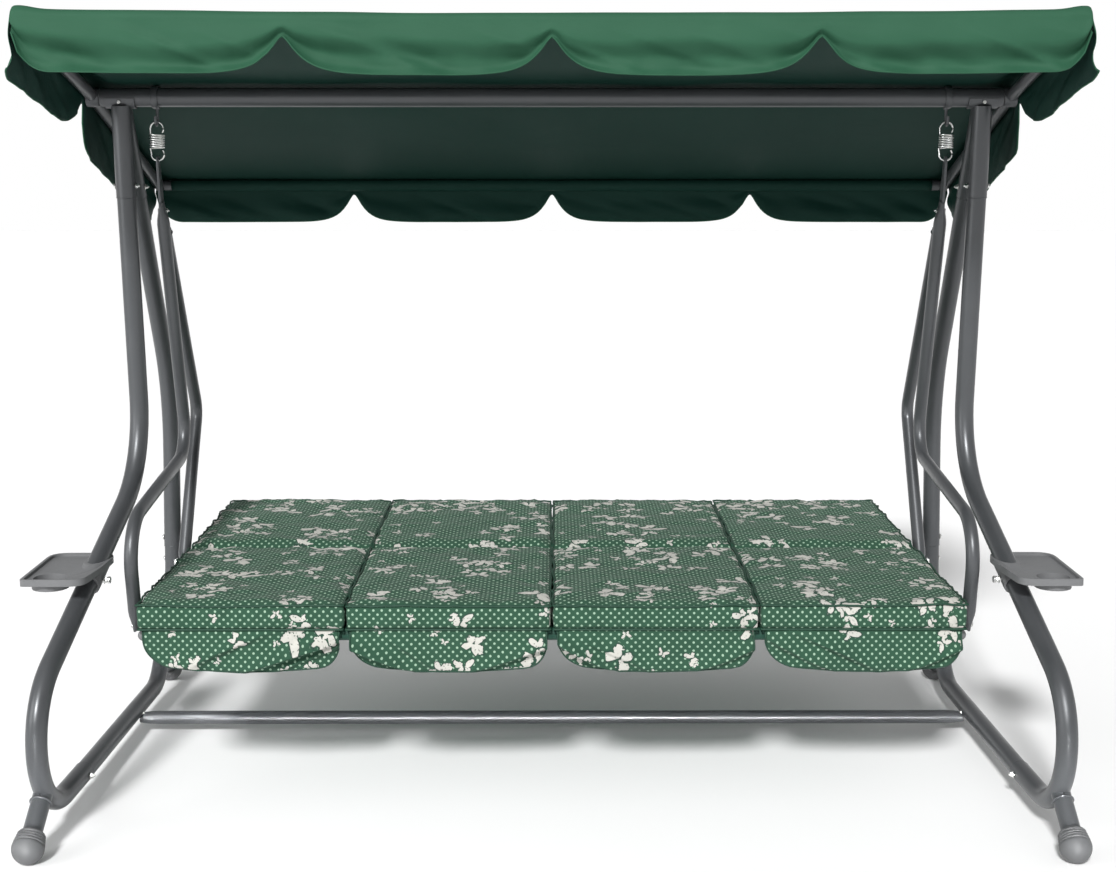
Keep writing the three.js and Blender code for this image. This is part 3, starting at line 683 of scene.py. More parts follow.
def add_front_leg(name, side):
    root, ball = (place(*point, side) for point in FEET["front"])
    shapes = [sweep(bent_line(FRONT_LEG, side), LEG_RADIUS, sides=36)]
    shapes += foot_stub(root, ball, LEG_RADIUS - 0.002)
    joint = place(*BASE_JOINT, side)
    base_way = (joint - place(FRONT_FOOT_X, -0.737, BASE_Z, side)).normalized()
    shapes.append(ring(LEG_RADIUS - 0.0008, 0.0012, joint, base_way))
    hole = joint - base_way * 0.028
    outer = RIGHT * side
    shapes += bolt(hole + outer * (LEG_RADIUS - 0.001), hole - outer * (LEG_RADIUS + 0.001), 0.0065)
    shapes += stub_slot(root, ball)
    add_piece(f"front_leg_tube_{name}", shapes, [METAL, ZINC, BLACK_AND_SLOT_SHADE], "frame", [f"front_leg_{name}"])


def stub_slot(root, ball):
    """The small open slot on the front of a foot's tube, above its ball, drawn as a thin near-black rod:
    painted shade inside the opening.
    """
    way = (ball - root).normalized()
    out = FORWARD - way * way.dot(FORWARD)
    at = root.lerp(ball, 0.10) + out.normalized() * (LEG_RADIUS - 0.0031)
    return [sweep(straight(at - way * 0.005, at + way * 0.005, 6), 0.0026, sides=12, number=2)]


def add_rear_leg(name, side):
    upper = sweep(bent_line(REAR_LEG_UPPER, side), LEG_RADIUS, sides=36)
    lip = ring(LEG_RADIUS - 0.0008, 0.0012, place(*REAR_LEG_UPPER[-1], side), UP)
    add_piece(f"rear_leg_upper_tube_{name}", [upper, lip], [METAL], "frame", [f"rear_leg_upper_{name}"])
    root, ball = (place(*point, side) for point in FEET["rear"])
    shapes = [sweep(bent_line(REAR_LEG_LOWER, side), LOWER_RADIUS, sides=36)]
    shapes += foot_stub(root, ball, LOWER_RADIUS)
    inner = RIGHT * -side
    for height, radius in ((0.424, LEG_RADIUS), (0.362, LOWER_RADIUS)):
        at = place(1.0845, 0.471, height, side)
        shapes += bolt(at - inner * radius, at + inner * (radius + 0.006), 0.0065, dome=True)
        shapes.append(wing_nut(at + inner * (radius + 0.010), inner))
    add_piece(f"rear_leg_lower_tube_{name}", shapes, [METAL, ZINC, BLACK_AND_SLOT_SHADE], "frame",
              [f"rear_leg_lower_{name}"])


def wing_nut(at, outward):
    """Two black ears on a small hub."""
    line = []
    for i in range(-8, 9):
        line.append(at + UP * (0.017 * i / 8) + outward * (0.011 * (i / 8) ** 2))

    def ear(distance, total):
        return 0.0016, 0.0035 + 0.0022 * abs(2 * distance / total - 1)
    return sweep(line, ear, outward, 12, 2)


def add_feet():
    for end, points in FEET.items():
        for name, side in SIDES:
            root, ball = (place(*point, side) for point in points)
            node = f"ball_foot_{end}_{name}"
            add_piece(f"{node}_ball", [ball_foot(root, ball)], [FOOT], "frame", [node])


def saddle(side):
    """The pressed cradle under the beam: a half ring with two rolled edges."""
    middle_plane = (BEAM.y, BEAM.z)
    start, end = 1.04 * 180, 1.96 * 180
    outlines = []
    for x, shrink in ((-0.037, 0.9994), (-0.0355, 1.0), (0.0355, 1.0), (0.037, 0.9994)):
        outline = arc(middle_plane, (LEG_RADIUS + 0.0042) * shrink, start, end, 24)
        outline += arc(middle_plane, (LEG_RADIUS + 0.0006) * shrink, end, start, 24)
        outlines.append([Vector((side * LEG_TOP_X + x, y, z)) for y, z in outline])
    return plate(outlines)


def add_bracket(name, side):
    shapes = [saddle(side)]
    for top, end in SLEEVES:
        high, low = place(*top, side), place(*end, side)
        way = (low - high).normalized()
        shapes.append(sweep(straight(high, low, 20), LEG_RADIUS + 0.0012, sides=36))
        shapes.append(ring(LEG_RADIUS + 0.0004, 0.0014, low - way * 0.001, way))
        reach = RIGHT * side * (LEG_RADIUS + 0.0012)
        hole = low - way * 0.030
        shapes += bolt(hole + reach, hole - reach, 0.006)
    screw = place(LEG_TOP_X, -LEG_RADIUS - 0.004, BEAM.z - 0.012, side)
    shapes.append(disc(screw, FORWARD, 0.0045, 0.0025, 1))
    add_piece(f"corner_bracket_formed_{name}", shapes, [METAL, ZINC], "frame", [f"corner_bracket_{name}"])


def add_crossbar():
    low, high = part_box("lower_crossbar")
    centre = middle("lower_crossbar")
    reach = RIGHT * (high.x - 0.001)
    radius = (high.z - low.z) / 2

    def section(distance, total):
        share = smooth_step(min(distance, total - distance) / 0.035)
        return 0.0125 + (radius - 0.0125) * share, radius * (1.08 - 0.08 * share)
    shapes = [sweep(straight(centre - reach, centre + reach, 90), section, UP, 28)]
    head = [(0, -0.008), (0.010, -0.006), (0.014, 0), (0.010, 0.006), (0, 0.008)]
    for side in (1, -1):
        end = centre + side * (reach - RIGHT * 0.004) + UP * 0.004
        shapes.append(lathe(head, end, Vector((0.3, 1, 0.5)), 16, 1))
    add_piece("lower_crossbar_tube", shapes, [METAL, ZINC], "frame", ["lower_crossbar"])


def add_beam():
    reach = RIGHT * (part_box("top_beam")[1].x - 0.001)
    shapes = [sweep(straight(BEAM - reach, BEAM + reach, 60), LEG_RADIUS, UP, 40)]
    for side in (1, -1):
        shapes.append(plug(BEAM + side * reach, RIGHT * side, LEG_RADIUS - 0.0015))
    add_piece("top_beam_tube", shapes, [METAL, PLASTIC], "frame", ["top_beam"])


# ---------------------------------------------------------------- hooks, springs and arms
def add_hook(name, side):
    """A rod from the beam to a round bend that holds the spring, with its boss and a strap on the beam."""
    rod_z = LOOP_TOP - 0.0072
    reach = 0.0112
    x = side * HANG_X
    outline = [(BEAM.y + reach, BEAM.z - 0.022), *arc((BEAM.y, rod_z + reach), reach, 0, -180, 16),
               (BEAM.y - reach, rod_z + reach + 0.010)]
    rod = sweep([Vector((x, y, z)) for y, z in outline], 0.0038, sides=14)
    wide, low, high = LEG_RADIUS + 0.0038, LEG_RADIUS + 0.0004, LEG_RADIUS + 0.0030
    band = [(0, -0.008), (low, -0.008), (high, -0.008), (wide, -0.006), (wide, 0.006), (high, 0.008),
            (low, 0.008), (0, 0.008)]
    strap = lathe(band, Vector((x, BEAM.y, BEAM.z)), RIGHT, 40)
    boss = lathe([(0, 0), (0.0075, 0), (0.0075, 0.006), (0.006, 0.010), (0, 0.010)],
                 Vector((x, BEAM.y + reach, BEAM.z - 0.020)), -UP, 24)
    add_piece(f"beam_hook_bent_{name}", [rod, strap, boss], [METAL], "frame", [f"beam_hook_{name}"])


def spring_line(x):
    """Loop, close coils, loop: the line of one extension spring."""
    radius, loop, turns, steps = 0.0170, 0.0160, 6, 28
    upper, lower = LOOP_TOP - loop, LOOP_BOTTOM + loop
    top, bottom = upper - 0.014, lower + 0.014
    line = [Vector((a, BEAM.y, z)) for a, z in arc((x, upper), loop, -36, 180, 24)[:-1]]
    for i in range(turns * steps + 1):
        angle = math.pi + 2 * math.pi * i / steps
        z = top + (bottom - top) * i / (turns * steps)
        line.append(Vector((x + radius * math.cos(angle), BEAM.y + radius * math.sin(angle), z)))
    return line + [Vector((a, BEAM.y, z)) for a, z in arc((x, lower), loop, 180, 396, 24)[1:]]


def add_spring(name, side):
    coil = sweep(spring_line(side * HANG_X), 0.0020, UP, 10)
    piece = add_piece(f"spring_coil_{name}", [coil], [ZINC], None, [f"spring_{name}"])
    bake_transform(piece)


def hanger_plate(side):
    """The pressed plate between the spring and the arms, with rounded corners and a hole."""
    outline = [(-0.010, LOOP_BOTTOM + 0.004), (-0.007, LOOP_BOTTOM + 0.010), (0.007, LOOP_BOTTOM + 0.010),
               (0.010, LOOP_BOTTOM + 0.004), (0.013, LOOP_BOTTOM - 0.010), (0.034, ARM_TOP_Z + 0.010),
               (0.036, ARM_TOP_Z - 0.036), (0.014, ARM_TOP_Z - 0.036), (0.001, ARM_TOP_Z + 0.010),
               (-0.011, LOOP_BOTTOM - 0.010)]
    middle_y = 0.012
    outlines = []
    for x, grow in ((-0.003, 0.97), (-0.0022, 1.0), (0.0022, 1.0), (0.003, 0.97)):
        outlines.append([Vector((side * HANG_X + x, BEAM.y + middle_y + (y - middle_y) * grow, z))
                         for y, z in outline])
    return plate(outlines)


def add_front_arm(name, side):
    line = bent_line(FRONT_ARM, side, spacing=0.012)

    def section(distance, total):
        top = flattened(ARM_RADIUS, 0.0055, 0.021, 0.060)(distance, total)
        foot = flattened(ARM_RADIUS, 0.0060, 0.020, 0.045, True)(distance, total)
        return min(top[0], foot[0]), max(top[1], foot[1])
    outer = RIGHT * side
    foot = place(HANG_X, ARM_FOOT_Y, SEAT_Z, side)
    top = place(HANG_X, 0.030, ARM_TOP_Z - 0.018, side)
    shapes = [sweep(line, section, sides=28), hanger_plate(side)]
    shapes += bolt(foot + outer * 0.0065, foot - outer * 0.0235, 0.0065, nut=False)
    shapes += bolt(top + outer * 0.0065, top - outer * 0.0065, 0.006)
    eye = place(HANG_X, 0, LOOP_BOTTOM - 0.001, side)
    shapes.append(ring(0.0064, 0.0014, eye, outer))
    add_piece(f"front_arm_tube_{name}", shapes, [METAL, ZINC], "seat", [f"front_arm_{name}"])


def add_rear_arm(name, side):
    line = bent_line(REAR_ARM, side, spacing=0.012)
    section = flattened(ARM_RADIUS, 0.0055, 0.020, 0.045, True)
    start, ahead = line[0], line[1]
    shapes = [sweep(line, section, sides=28), ring(ARM_RADIUS, 0.0025, start.lerp(ahead, 0.9), ahead - start)]
    add_piece(f"rear_arm_tube_{name}", shapes, [METAL], "seat", [f"rear_arm_{name}"])
    pin = place(HANG_X, *HINGE, side)
    outer = RIGHT * side
    shapes = bolt(pin + outer * 0.0170, pin - outer * 0.0200, 0.0090, 0, nut=False)
    shapes.append(hexagon(pin + outer * 0.0062, outer, 0.016, 0.008))
    add_piece(f"hinge_pin_bolt_{name}", shapes, [ZINC], "seat", [f"hinge_pin_{name}"])


# ---------------------------------------------------------------- seat and backrest frames
def sling_profile(first, last, z):
    """Side view of a sling between two tubes at y first and last: round one, across, and round the other."""
    radius, sag, steps = 0.0142, 0.007, 24
    across = []
    for i in range(1, steps):
        share = i / steps
        across.append((first + (last - first) * share, z + radius - sag * math.sin(math.pi * share)))
    return arc((first, z), radius, -60, -270, 14), across, arc((last, z), radius, 90, -120, 14)


def add_sling(prefix, body):
    """The woven sling: a sleeve round each long tube and a slightly hollow panel between them."""
    outer, inner = middle(f"{prefix}_outer_tube"), middle(f"{prefix}_inner_tube")
    sleeve, panel, far_sleeve = sling_profile(*sorted((outer.y, inner.y)), outer.z)
    profile = sleeve + panel + far_sleeve
    lengths = running_length(profile)
    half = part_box(f"{prefix}_sling")[1].x - 0.004
    columns, rows = 90, len(profile)
    stations = [-half + 2 * half * i / columns for i in range(columns + 1)]
    vertices, faces, uvs = [], [], []
    for x in stations:
        for k, (y, height) in enumerate(profile):
            ripple = 0.0012 * noise.noise(Vector((x * 9, y * 9, 3.0)))
            hollow = 0.004 * math.cos(math.pi * x / (2 * half)) if 0 <= k - len(sleeve) < len(panel) else 0.0
            vertices.append(Vector((x, y, height + ripple - hollow)))
    for i, (x0, x1) in enumerate(zip(stations, stations[1:])):
        for k in range(rows - 1):
            a, b = i * rows + k, (i + 1) * rows + k
            faces.append((a, b, b + 1, a + 1))
            uvs.append([(x0, lengths[k]), (x1, lengths[k]), (x1, lengths[k + 1]), (x0, lengths[k + 1])])
    piece = add_piece(f"{prefix}_sling_cloth", [(vertices, faces, 0)], [SLING], body, [f"{prefix}_sling"],
                      80, uvs)
    thick = piece.modifiers.new("Solidify", "SOLIDIFY")
    thick.thickness = 0.0012
    thick.offset = 0


def add_frames():
    for prefix, body in (("seat", "seat"), ("back", "backrest")):
        for name, _ in SIDES:
            straight_tube(f"{prefix}_side_tube_{name}", body)
            refined(f"{prefix}_hinge_plate_{name}", METAL, 0.0008, body)
        straight_tube(f"{prefix}_outer_tube", body)
        straight_tube(f"{prefix}_inner_tube", body)
        add_sling(prefix, body)


# ---------------------------------------------------------------- cushions


def box_grid(low, high, cell):
    """A box of small squares: vertices, faces, cloth coordinates and a table from grid place to vertex."""
    counts = [max(2, round((high[i] - low[i]) / cell)) for i in range(3)]
    table, vertices, faces, uvs = {}, [], [], []

    def corner(i, j, k):
        if (i, j, k) not in table:
            table[i, j, k] = len(vertices)
            share = (i / counts[0], j / counts[1], k / counts[2])
            vertices.append(Vector([low[n] + (high[n] - low[n]) * share[n] for n in range(3)]))
        return table[i, j, k]

    def add(places, flat):
        ids = [corner(*p) for p in places]
        faces.append(tuple(ids))
        uvs.append([flat(vertices[v]) for v in ids])

    nx, ny, nz = counts
    for i in range(nx):
        for j in range(ny):
            square = [(i, j), (i + 1, j), (i + 1, j + 1), (i, j + 1)]
            add([(a, b, nz) for a, b in square], lambda v: (v.x, v.y))
            add([(a, b, 0) for a, b in reversed(square)], lambda v: (v.x, v.y))
    for i in range(nx):
        for k in range(nz):
            square = [(i, k), (i + 1, k), (i + 1, k + 1), (i, k + 1)]
            add([(a, 0, c) for a, c in square], lambda v: (v.x, low[1] - (high[2] - v.z)))
            add([(a, ny, c) for a, c in reversed(square)], lambda v: (v.x, high[1] + high[2] - v.z))
    for j in range(ny):
        for k in range(nz):
            square = [(j, k), (j + 1, k), (j + 1, k + 1), (j, k + 1)]
            add([(nx, b, c) for b, c in square], lambda v: (high[0] + high[2] - v.z, v.y))
            add([(0, b, c) for b, c in reversed(square)], lambda v: (low[0] - (high[2] - v.z), v.y))
    return vertices, faces, uvs, table, counts


def crease_line(x, number):
    """Where the middle of a cushion's crease lies at x; it wanders a little."""
    return CREASE_Y + 0.007 * math.sin(x * 7 + number * 1.9)


def fold_depth(x, y, number):
    """How far the crease over the fold pulls the top down at a point."""
    away = (y - crease_line(x, number)) / 0.013
    return 0.020 * math.exp(-away * away)


CLOTH_SETTINGS = {
    "use_pressure": True, "uniform_pressure_force": 4.0, "vertex_group_mass": "pin", "quality": 4,
    "mass": 0.3, "tension_stiffness": 12, "compression_stiffness": 12, "shear_stiffness": 4,
    "bending_stiffness": 0.4, "shrink_min": -0.012,
}


def inflate(pieces, frames=20):
    """Swells closed pads with Cloth, all together, and returns each one's new vertex places."""
    for piece in pieces:
        cloth = piece.modifiers.new("Cloth", "CLOTH")
        for name, value in CLOTH_SETTINGS.items():
            setattr(cloth.settings, name, value)
        cloth.settings.effector_weights.gravity = 0
        cloth.collision_settings.use_collision = False
        cloth.point_cache.frame_end = frames
    for number in range(1, frames + 1):
        bpy.context.scene.frame_set(number)
    graph = bpy.context.evaluated_depsgraph_get()
    swollen = []
    for piece in pieces:
        mesh = piece.evaluated_get(graph).to_mesh()
        swollen.append([v.co.copy() for v in mesh.vertices])
        piece.evaluated_get(graph).to_mesh_clear()
    for piece in pieces:
        piece.modifiers.clear()
    bpy.context.scene.frame_set(1)
    return swollen


def capped(move, limits):
    return Vector([max(-limit, min(limit, part)) for part, limit in zip(move, limits)])


def border_loop(table, counts, level):
    """The vertices round the edge of the top or bottom of a box grid, in order."""
    nx, ny, _ = counts
    around = [(i, 0) for i in range(nx)] + [(nx, j) for j in range(ny)]
    around += [(i, ny) for i in range(nx, 0, -1)] + [(0, j) for j in range(ny, 0, -1)]
    return [table[i, j, level] for i, j in around]


def print_place(point, number):
    """Where a cushion's point lies on the printed cloth, so that each cushion shows another part of it."""
    return point[0] + PRINT_STEP[0] * number, point[1] + PRINT_STEP[1] * number


def pad_draft(number):
    """The unswollen pad of one cushion, with its pinned bottom, edges and crease."""
    left = -BED_HALF + number * CUSHION_PITCH
    low = (left + 0.0045, BED_FRONT + 0.005, PAD_BOTTOM + 0.001)
    high = (left + CUSHION_PITCH - 0.0045, BED_REAR - 0.005, PAD_TOP - 0.0015)
    vertices, faces, uvs, table, counts = box_grid(low, high, CELL)
    uvs = [[print_place(corner, number) for corner in corners] for corners in uvs]
    draft = add_piece(f"cushion_{number + 1}", [(vertices, faces, 0)], [PRINT, PIPING], sharp=None, uvs=uvs)
    pins = draft.vertex_groups.new(name="pin")
    for (i, j, k), vertex in table.items():
        point = draft.data.vertices[vertex].co
        on_top = k == counts[2]
        depth = fold_depth(point.x, point.y, number)
        point.z -= depth * k / counts[2]
        if on_top:
            point.z += 0.004 * noise.noise(Vector((point.x * 6, point.y * 6, number)))
        hold = 1.0 if k == 0 else 0.0
        if on_top and depth > 0.009:
            hold = 0.85
        if i in (0, counts[0]) or j in (0, counts[1]):
            hold = max(hold, 0.80 if on_top else 0.25)
        if hold > 0:
            pins.add([vertex], hold, "REPLACE")
    return draft, table, counts


def puckers(point, normal, edge_distance, seed):
    """Small gathers that fade away from the seams."""
    fade = math.exp(-edge_distance / 0.016)
    wave = noise.noise(Vector((point.x * 62, point.y * 62, point.z * 62 + seed)))
    broad = noise.noise(Vector((point.x * 14, point.y * 17, seed * 3.3)))
    ridge = 1 - abs(noise.noise(Vector((point.x * 19, point.y * 15, seed * 7.7)))) * 2
    return normal * (0.0032 * fade * wave + 0.0042 * broad + 0.0040 * ridge ** 3)


def finish_cushion(draft, table, counts, swollen, number):
    """Sets the swollen shape and adds gathers, piping and the stitched seam in the crease."""
    mesh = draft.data
    limits = (0.0045, 0.005, 0.007)
    for vertex, after in zip(mesh.vertices, swollen):
        vertex.co = vertex.co + capped(after - vertex.co, limits)
    mesh.update()
    nx, ny, nz = counts
    normals = [v.normal.copy() for v in mesh.vertices]
    for (i, j, k), vertex in table.items():
        if k == 0:
            continue
        point = mesh.vertices[vertex].co
        seam = min(i, nx - i, j, ny - j) * CELL if k == nz else min(k, nz - k) * CELL
        mesh.vertices[vertex].co = point + puckers(point, normals[vertex], seam, number * 5.1)
    mesh.update()
    shapes = [fold_seam(mesh, table, counts, number)]
    for level in (0, nz):
        loop = [mesh.vertices[v].co.copy() for v in border_loop(table, counts, level)]
        centre = sum(loop, Vector()) / len(loop)
        loop = [p + (p - centre).normalized() * 0.0012 for p in loop]
        shapes.append(sweep(loop, PIPE, UP, 10, 0, True))
    welt = add_piece(f"welt_{number}", shapes, [PIPING], sharp=None)
    smooth = draft.modifiers.new("Subdivision", "SUBSURF")
    smooth.levels = smooth.render_levels = 1
    bpy.context.view_layer.update()
    graph = bpy.context.evaluated_depsgraph_get()
    fine = bpy.data.meshes.new_from_object(draft.evaluated_get(graph))
    draft.modifiers.clear()
    draft.data = fine
    join_into(draft, welt, 1)
    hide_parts(f"seat_cushion_{number + 1}", f"back_cushion_{number + 1}")
    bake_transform(draft)


def fold_seam(mesh, table, counts, number):
    """The row of stitching in the crease over the fold between seat and backrest."""
    nx, ny, nz = counts
    line = []
    for i in range(1, nx):
        column = [mesh.vertices[table[i, j, nz]].co for j in range(ny + 1)]
        target = crease_line(column[0].x, number)
        for before, after in zip(column, column[1:]):
            if before.y <= target < after.y:
                line.append(before.lerp(after, (target - before.y) / (after.y - before.y)))
                break
    return sweep(line, 0.0022, UP, 8)


def join_into(target, other, material_index):
    """Adds another object's mesh to target's, with one material number, and removes the other object."""
    work = bmesh.new()
    work.from_mesh(target.data)
    kept = len(work.faces)
    work.from_mesh(other.data)
    work.faces.ensure_lookup_table()
    for face in work.faces[kept:]:
        face.material_index = material_index
        face.smooth = True
    work.to_mesh(target.data)
    work.free()
    bpy.data.objects.remove(other)


def flap_reach(u, v, half):
    """Distance from the flap's middle at place u, narrowing round the lower corners."""
    wide, high = FLAP_CORNERS[0 if u < 0 else 1]
    above_hem = FLAP_HEIGHT * (1 - v)
    t = max(0.0, 1 - above_hem / high)
    return u * (half - wide * (1 - math.sqrt(max(0.0, 1 - t * t))))


def flap_folds(u, v, number):
    """How far the hanging flap stands forward: slanting folds, steep on their lower side."""
    out = 0.0
    for centre, slant, width, depth in FLAP_FOLDS[number]:
        below = (u - centre - slant * (1 - v)) * math.copysign(1, slant) / width
        spread = 0.50 if below > 0 else 1.7
        out += depth * math.exp(-(abs(below) / spread) ** 1.5) * min(1.0, v * 2.2) * (1 - 0.75 * v ** 7)
    return out + 0.006 * noise.noise(Vector((u * 4.1, v * 2.3, number * 1.7))) * v * (1 - 0.6 * v ** 7)


def flap_point(u, v, back, number):
    """A point of a flap's front or back face: u from -1 to 1 across it, v from 0 to 1 down it."""
    centre = -BED_HALF + (number + 0.5) * CUSHION_PITCH
    droop = 0.008 * math.cos(math.pi * u / 2) * v
    round_off = (1 - abs(u) ** 14) * (1 - v ** 9)
    thick = 0.0006 + 0.0048 * math.sqrt(max(0.0, round_off))
    y = BED_FRONT + 0.012 - 0.005 * v - flap_folds(u, v, number) + (thick if back else -thick)
    z = PAD_BOTTOM + 0.003 - (FLAP_HEIGHT - 0.006 + droop) * v
    return Vector((centre + flap_reach(u, v, CUSHION_PITCH / 2 - 0.013), y, z))


def add_flap(number):
    """The padded flap that hangs from the front of one cushion."""
    columns, rows = 96, 26
    vertices, faces, uvs = [], [], []
    grid = {}
    for back in (0, 1):
        for i in range(columns + 1):
            for k in range(rows + 1):
                if back and (i in (0, columns) or k == rows):
                    grid[1, i, k] = grid[0, i, k]
                    continue
                grid[back, i, k] = len(vertices)
                vertices.append(flap_point(2 * i / columns - 1, k / rows, back, number))
    for back in (0, 1):
        for i in range(columns):
            for k in range(rows):
                corners = [(i, k), (i, k + 1), (i + 1, k + 1), (i + 1, k)]
                face = [grid[back, a, b] for a, b in (reversed(corners) if back else corners)]
                faces.append(tuple(face))
                uvs.append([flap_uv(vertices[f], number) for f in face])
    edge = [vertices[grid[0, 0, k]] for k in range(2, rows + 1)]
    edge += [vertices[grid[0, i, rows]] for i in range(1, columns + 1)]
    edge += [vertices[grid[0, columns, k]] for k in range(rows - 1, 1, -1)]
    welt = sweep(edge, 0.0022, -FORWARD, 10, 1)
    piece = add_piece(f"cushion_flap_{number + 1}", [(vertices, faces, 0)], [PRINT, PIPING], "seat", (),
                      None, uvs)
    hem = add_piece(f"flap_welt_{number}", [welt], [PIPING], sharp=None)
    join_into(piece, hem, 1)


def flap_uv(point, number):
    """The print runs on from the cushion's top, over its front and down the flap."""
    return print_place((point.x, point.z - PAD_TOP + BED_FRONT), number)


def add_cushions():
    drafts = [pad_draft(number) for number in range(CUSHIONS)]
    swollen = inflate([draft for draft, _, _ in drafts])
    for number, ((draft, table, counts), shape) in enumerate(zip(drafts, swollen)):
        finish_cushion(draft, table, counts, shape, number)
        add_flap(number)


# ---------------------------------------------------------------- canopy
def add_canopy_frame():
    boss = [(0, -0.017), (0.022, -0.017), (0.024, -0.014), (0.024, 0.014), (0.022, 0.0152), (0, 0.0152)]
    for name, side in SIDES:
        shapes = [sweep(bent_line(CANOPY_SIDE, side), CANOPY_RADIUS, sides=28)]
        shapes.append(lathe(boss, place(CANOPY_X, 0, BEAM.z, side), RIGHT * side, 36))
        add_piece(f"canopy_side_bent_{name}", shapes, [METAL], "canopy", [f"canopy_side_tube_{name}"])
        start = place(CANOPY_X + 0.0166, 0, BEAM.z, side)
        end = place(CANOPY_X - 0.018, 0, BEAM.z, side)
        add_piece(f"canopy_pivot_{name}", bolt(start, end, 0.009, 0, nut=False, dome=True), [ZINC], "frame",
                  [f"canopy_pivot_bolt_{name}"])
    straight_tube("canopy_front_tube", "canopy")
    straight_tube("canopy_rear_tube", "canopy")


def tab_depth(x, tip, drop, sharp):
    """How far the border hangs at x: four shallow round tabs between narrow notches."""
    pitch = 2 * SHEET_HALF / TABS
    inside = (x + SHEET_HALF) % pitch
    from_notch = min(inside, pitch - inside)
    if SHEET_HALF - abs(x) < pitch / 2:
        return corner_depth(SHEET_HALF - abs(x), tip, drop)
    eased = math.hypot(from_notch, 0.007) - 0.007
    return tip + (drop - tip) * (1 - math.exp(-eased / sharp))


def corner_depth(from_end, tip, drop):
    """The rounded outer corner of the first and last tab."""
    return tip + (drop - tip) * quarter_round(from_end / 0.075)


def canopy_profile():
    """Side view of the cover, front to rear: over the front tube, two sagging slopes, over the rear tube."""
    front = arc(FRONT_TUBE, SHEET_ROLL, 180, 74, 10)
    rear = arc(REAR_TUBE, SHEET_ROLL, 74, 0, 8)
    points = list(front)
    for (y0, z0), (y1, z1), sag, steps in ((front[-1], RIDGE, 0.010, 36), (RIDGE, rear[0], 0.016, 44)):
        for i in range(1, steps + 1):
            t = i / steps
            points.append((y0 + (y1 - y0) * t, z0 + (z1 - z0) * t - sag * math.sin(math.pi * t)))
    return points + rear[1:]


def slope_height(y):
    """Height of the straight line over the tubes at y."""
    front = (FRONT_TUBE[0] - SHEET_ROLL, FRONT_TUBE[1] + 0.022)
    rear = (REAR_TUBE[0] + SHEET_ROLL, REAR_TUBE[1] + 0.012)
    before, after = (front, RIDGE) if y < RIDGE[0] else (RIDGE, rear)
    share = (y - before[0]) / (after[0] - before[0])
    return before[1] + (after[1] - before[1]) * share


def quarter_round(share):
    """0 to 1 along a quarter of a circle, steep at first."""
    held = max(0.0, min(1.0, share))
    return math.sqrt(max(0.0, 1 - (1 - held) ** 2))


def side_bottom(y):
    """Height of the side border's lower edge: one tab before the beam and one behind it."""
    notch = -0.020
    if y < notch:
        end = max(0.0, min(1.0, (y - FRONT_TUBE[0] + SHEET_ROLL) / 0.03))
        depth = 0.012 + 0.120 * quarter_round((notch - y) / 0.20) * (0.90 + 0.10 * math.sqrt(end))
    else:
        end = quarter_round((REAR_TUBE[0] + SHEET_ROLL - y) / 0.11)
        depth = 0.012 + 0.136 * quarter_round((y - notch) / 0.10) * (0.35 + 0.65 * end)
    return slope_height(y) - depth


class Sheet:
    """Vertices and faces of a cloth surface with flat coordinates."""

    def __init__(self):
        self.vertices, self.faces, self.uvs = [], [], []

    def strip(self, columns):
        """Joins equally long columns of (point, flat place, vertex number or None) into faces."""
        ids = []
        for column in columns:
            ids.append([])
            for point, flat, known in column:
                if known is None:
                    known = len(self.vertices)
                    self.vertices.append(point)
                ids[-1].append((known, flat))
        for a, b in zip(ids, ids[1:]):
            for k in range(len(a) - 1):
                corners = (a[k], b[k], b[k + 1], a[k + 1])
                self.faces.append(tuple(c[0] for c in corners))
                self.uvs.append([c[1] for c in corners])
        return [[number for number, _ in column] for column in ids]


def border_stand(share, top, tuck):
    """How far a border stands out on its way down: it falls, tucks under, and flips out at its hem."""
    start = 0.40 + 0.22 * noise.noise(Vector(((top.x + top.y) * 2.6, 0.7, 3.1)))
    under = smooth_step((share - start) / 0.40)
    flip = smooth_step((share - 0.88) / 0.12)
    return 0.003 * smooth_step(share * 3) - tuck * under + 0.35 * tuck * flip


def hang_border(sheet, edge, depth_at, flat_at, outward, style, reverse=False):
    """Hangs a border from a row of vertices. Its style is flare, tuck, share of the folds, and rows."""
    flare, tuck, fullness, rows = style
    columns = []
    for vertex in edge:
        top = sheet.vertices[vertex].copy()
        depth = depth_at(top)
        column = [(top, flat_at(top, 0.0), vertex)]
        for k in range(1, rows + 1):
            down = depth * k / rows
            share = down / 0.13
            stand = border_stand(k / rows, top, tuck * min(1.0, depth / 0.09)) + flare * share ** 1.3
            stand += fullness * border_folds(top, down, share)
            point = top + outward * stand - UP * down
            column.append((point, flat_at(top, down), None))
        columns.append(column)
    if reverse:
        columns.reverse()
    return [column[-1] for column in sheet.strip(columns)]


def border_folds(top, down, share):
    """Slanting folds and the small puckers that a sewn hem makes."""
    run = top.x + top.y
    broad = noise.noise(Vector((run * 3.6 + down * 9, down * 6, 1.3)))
    slant = noise.noise(Vector((run * 11 - down * 24, down * 5, 7.9)))
    pucker = noise.noise(Vector((run * 26, down * 14, 4.2)))
    ridge = 1 - 2.4 * abs(noise.noise(Vector((run * 5.2 - down * 13, down * 4, 5.5))))
    return (0.015 * broad * share + 0.012 * slant * min(1.0, share * 1.6) + 0.006 * pucker * share ** 1.5
            + 0.011 * max(0.0, ridge) ** 2 * min(1.0, share * 2))


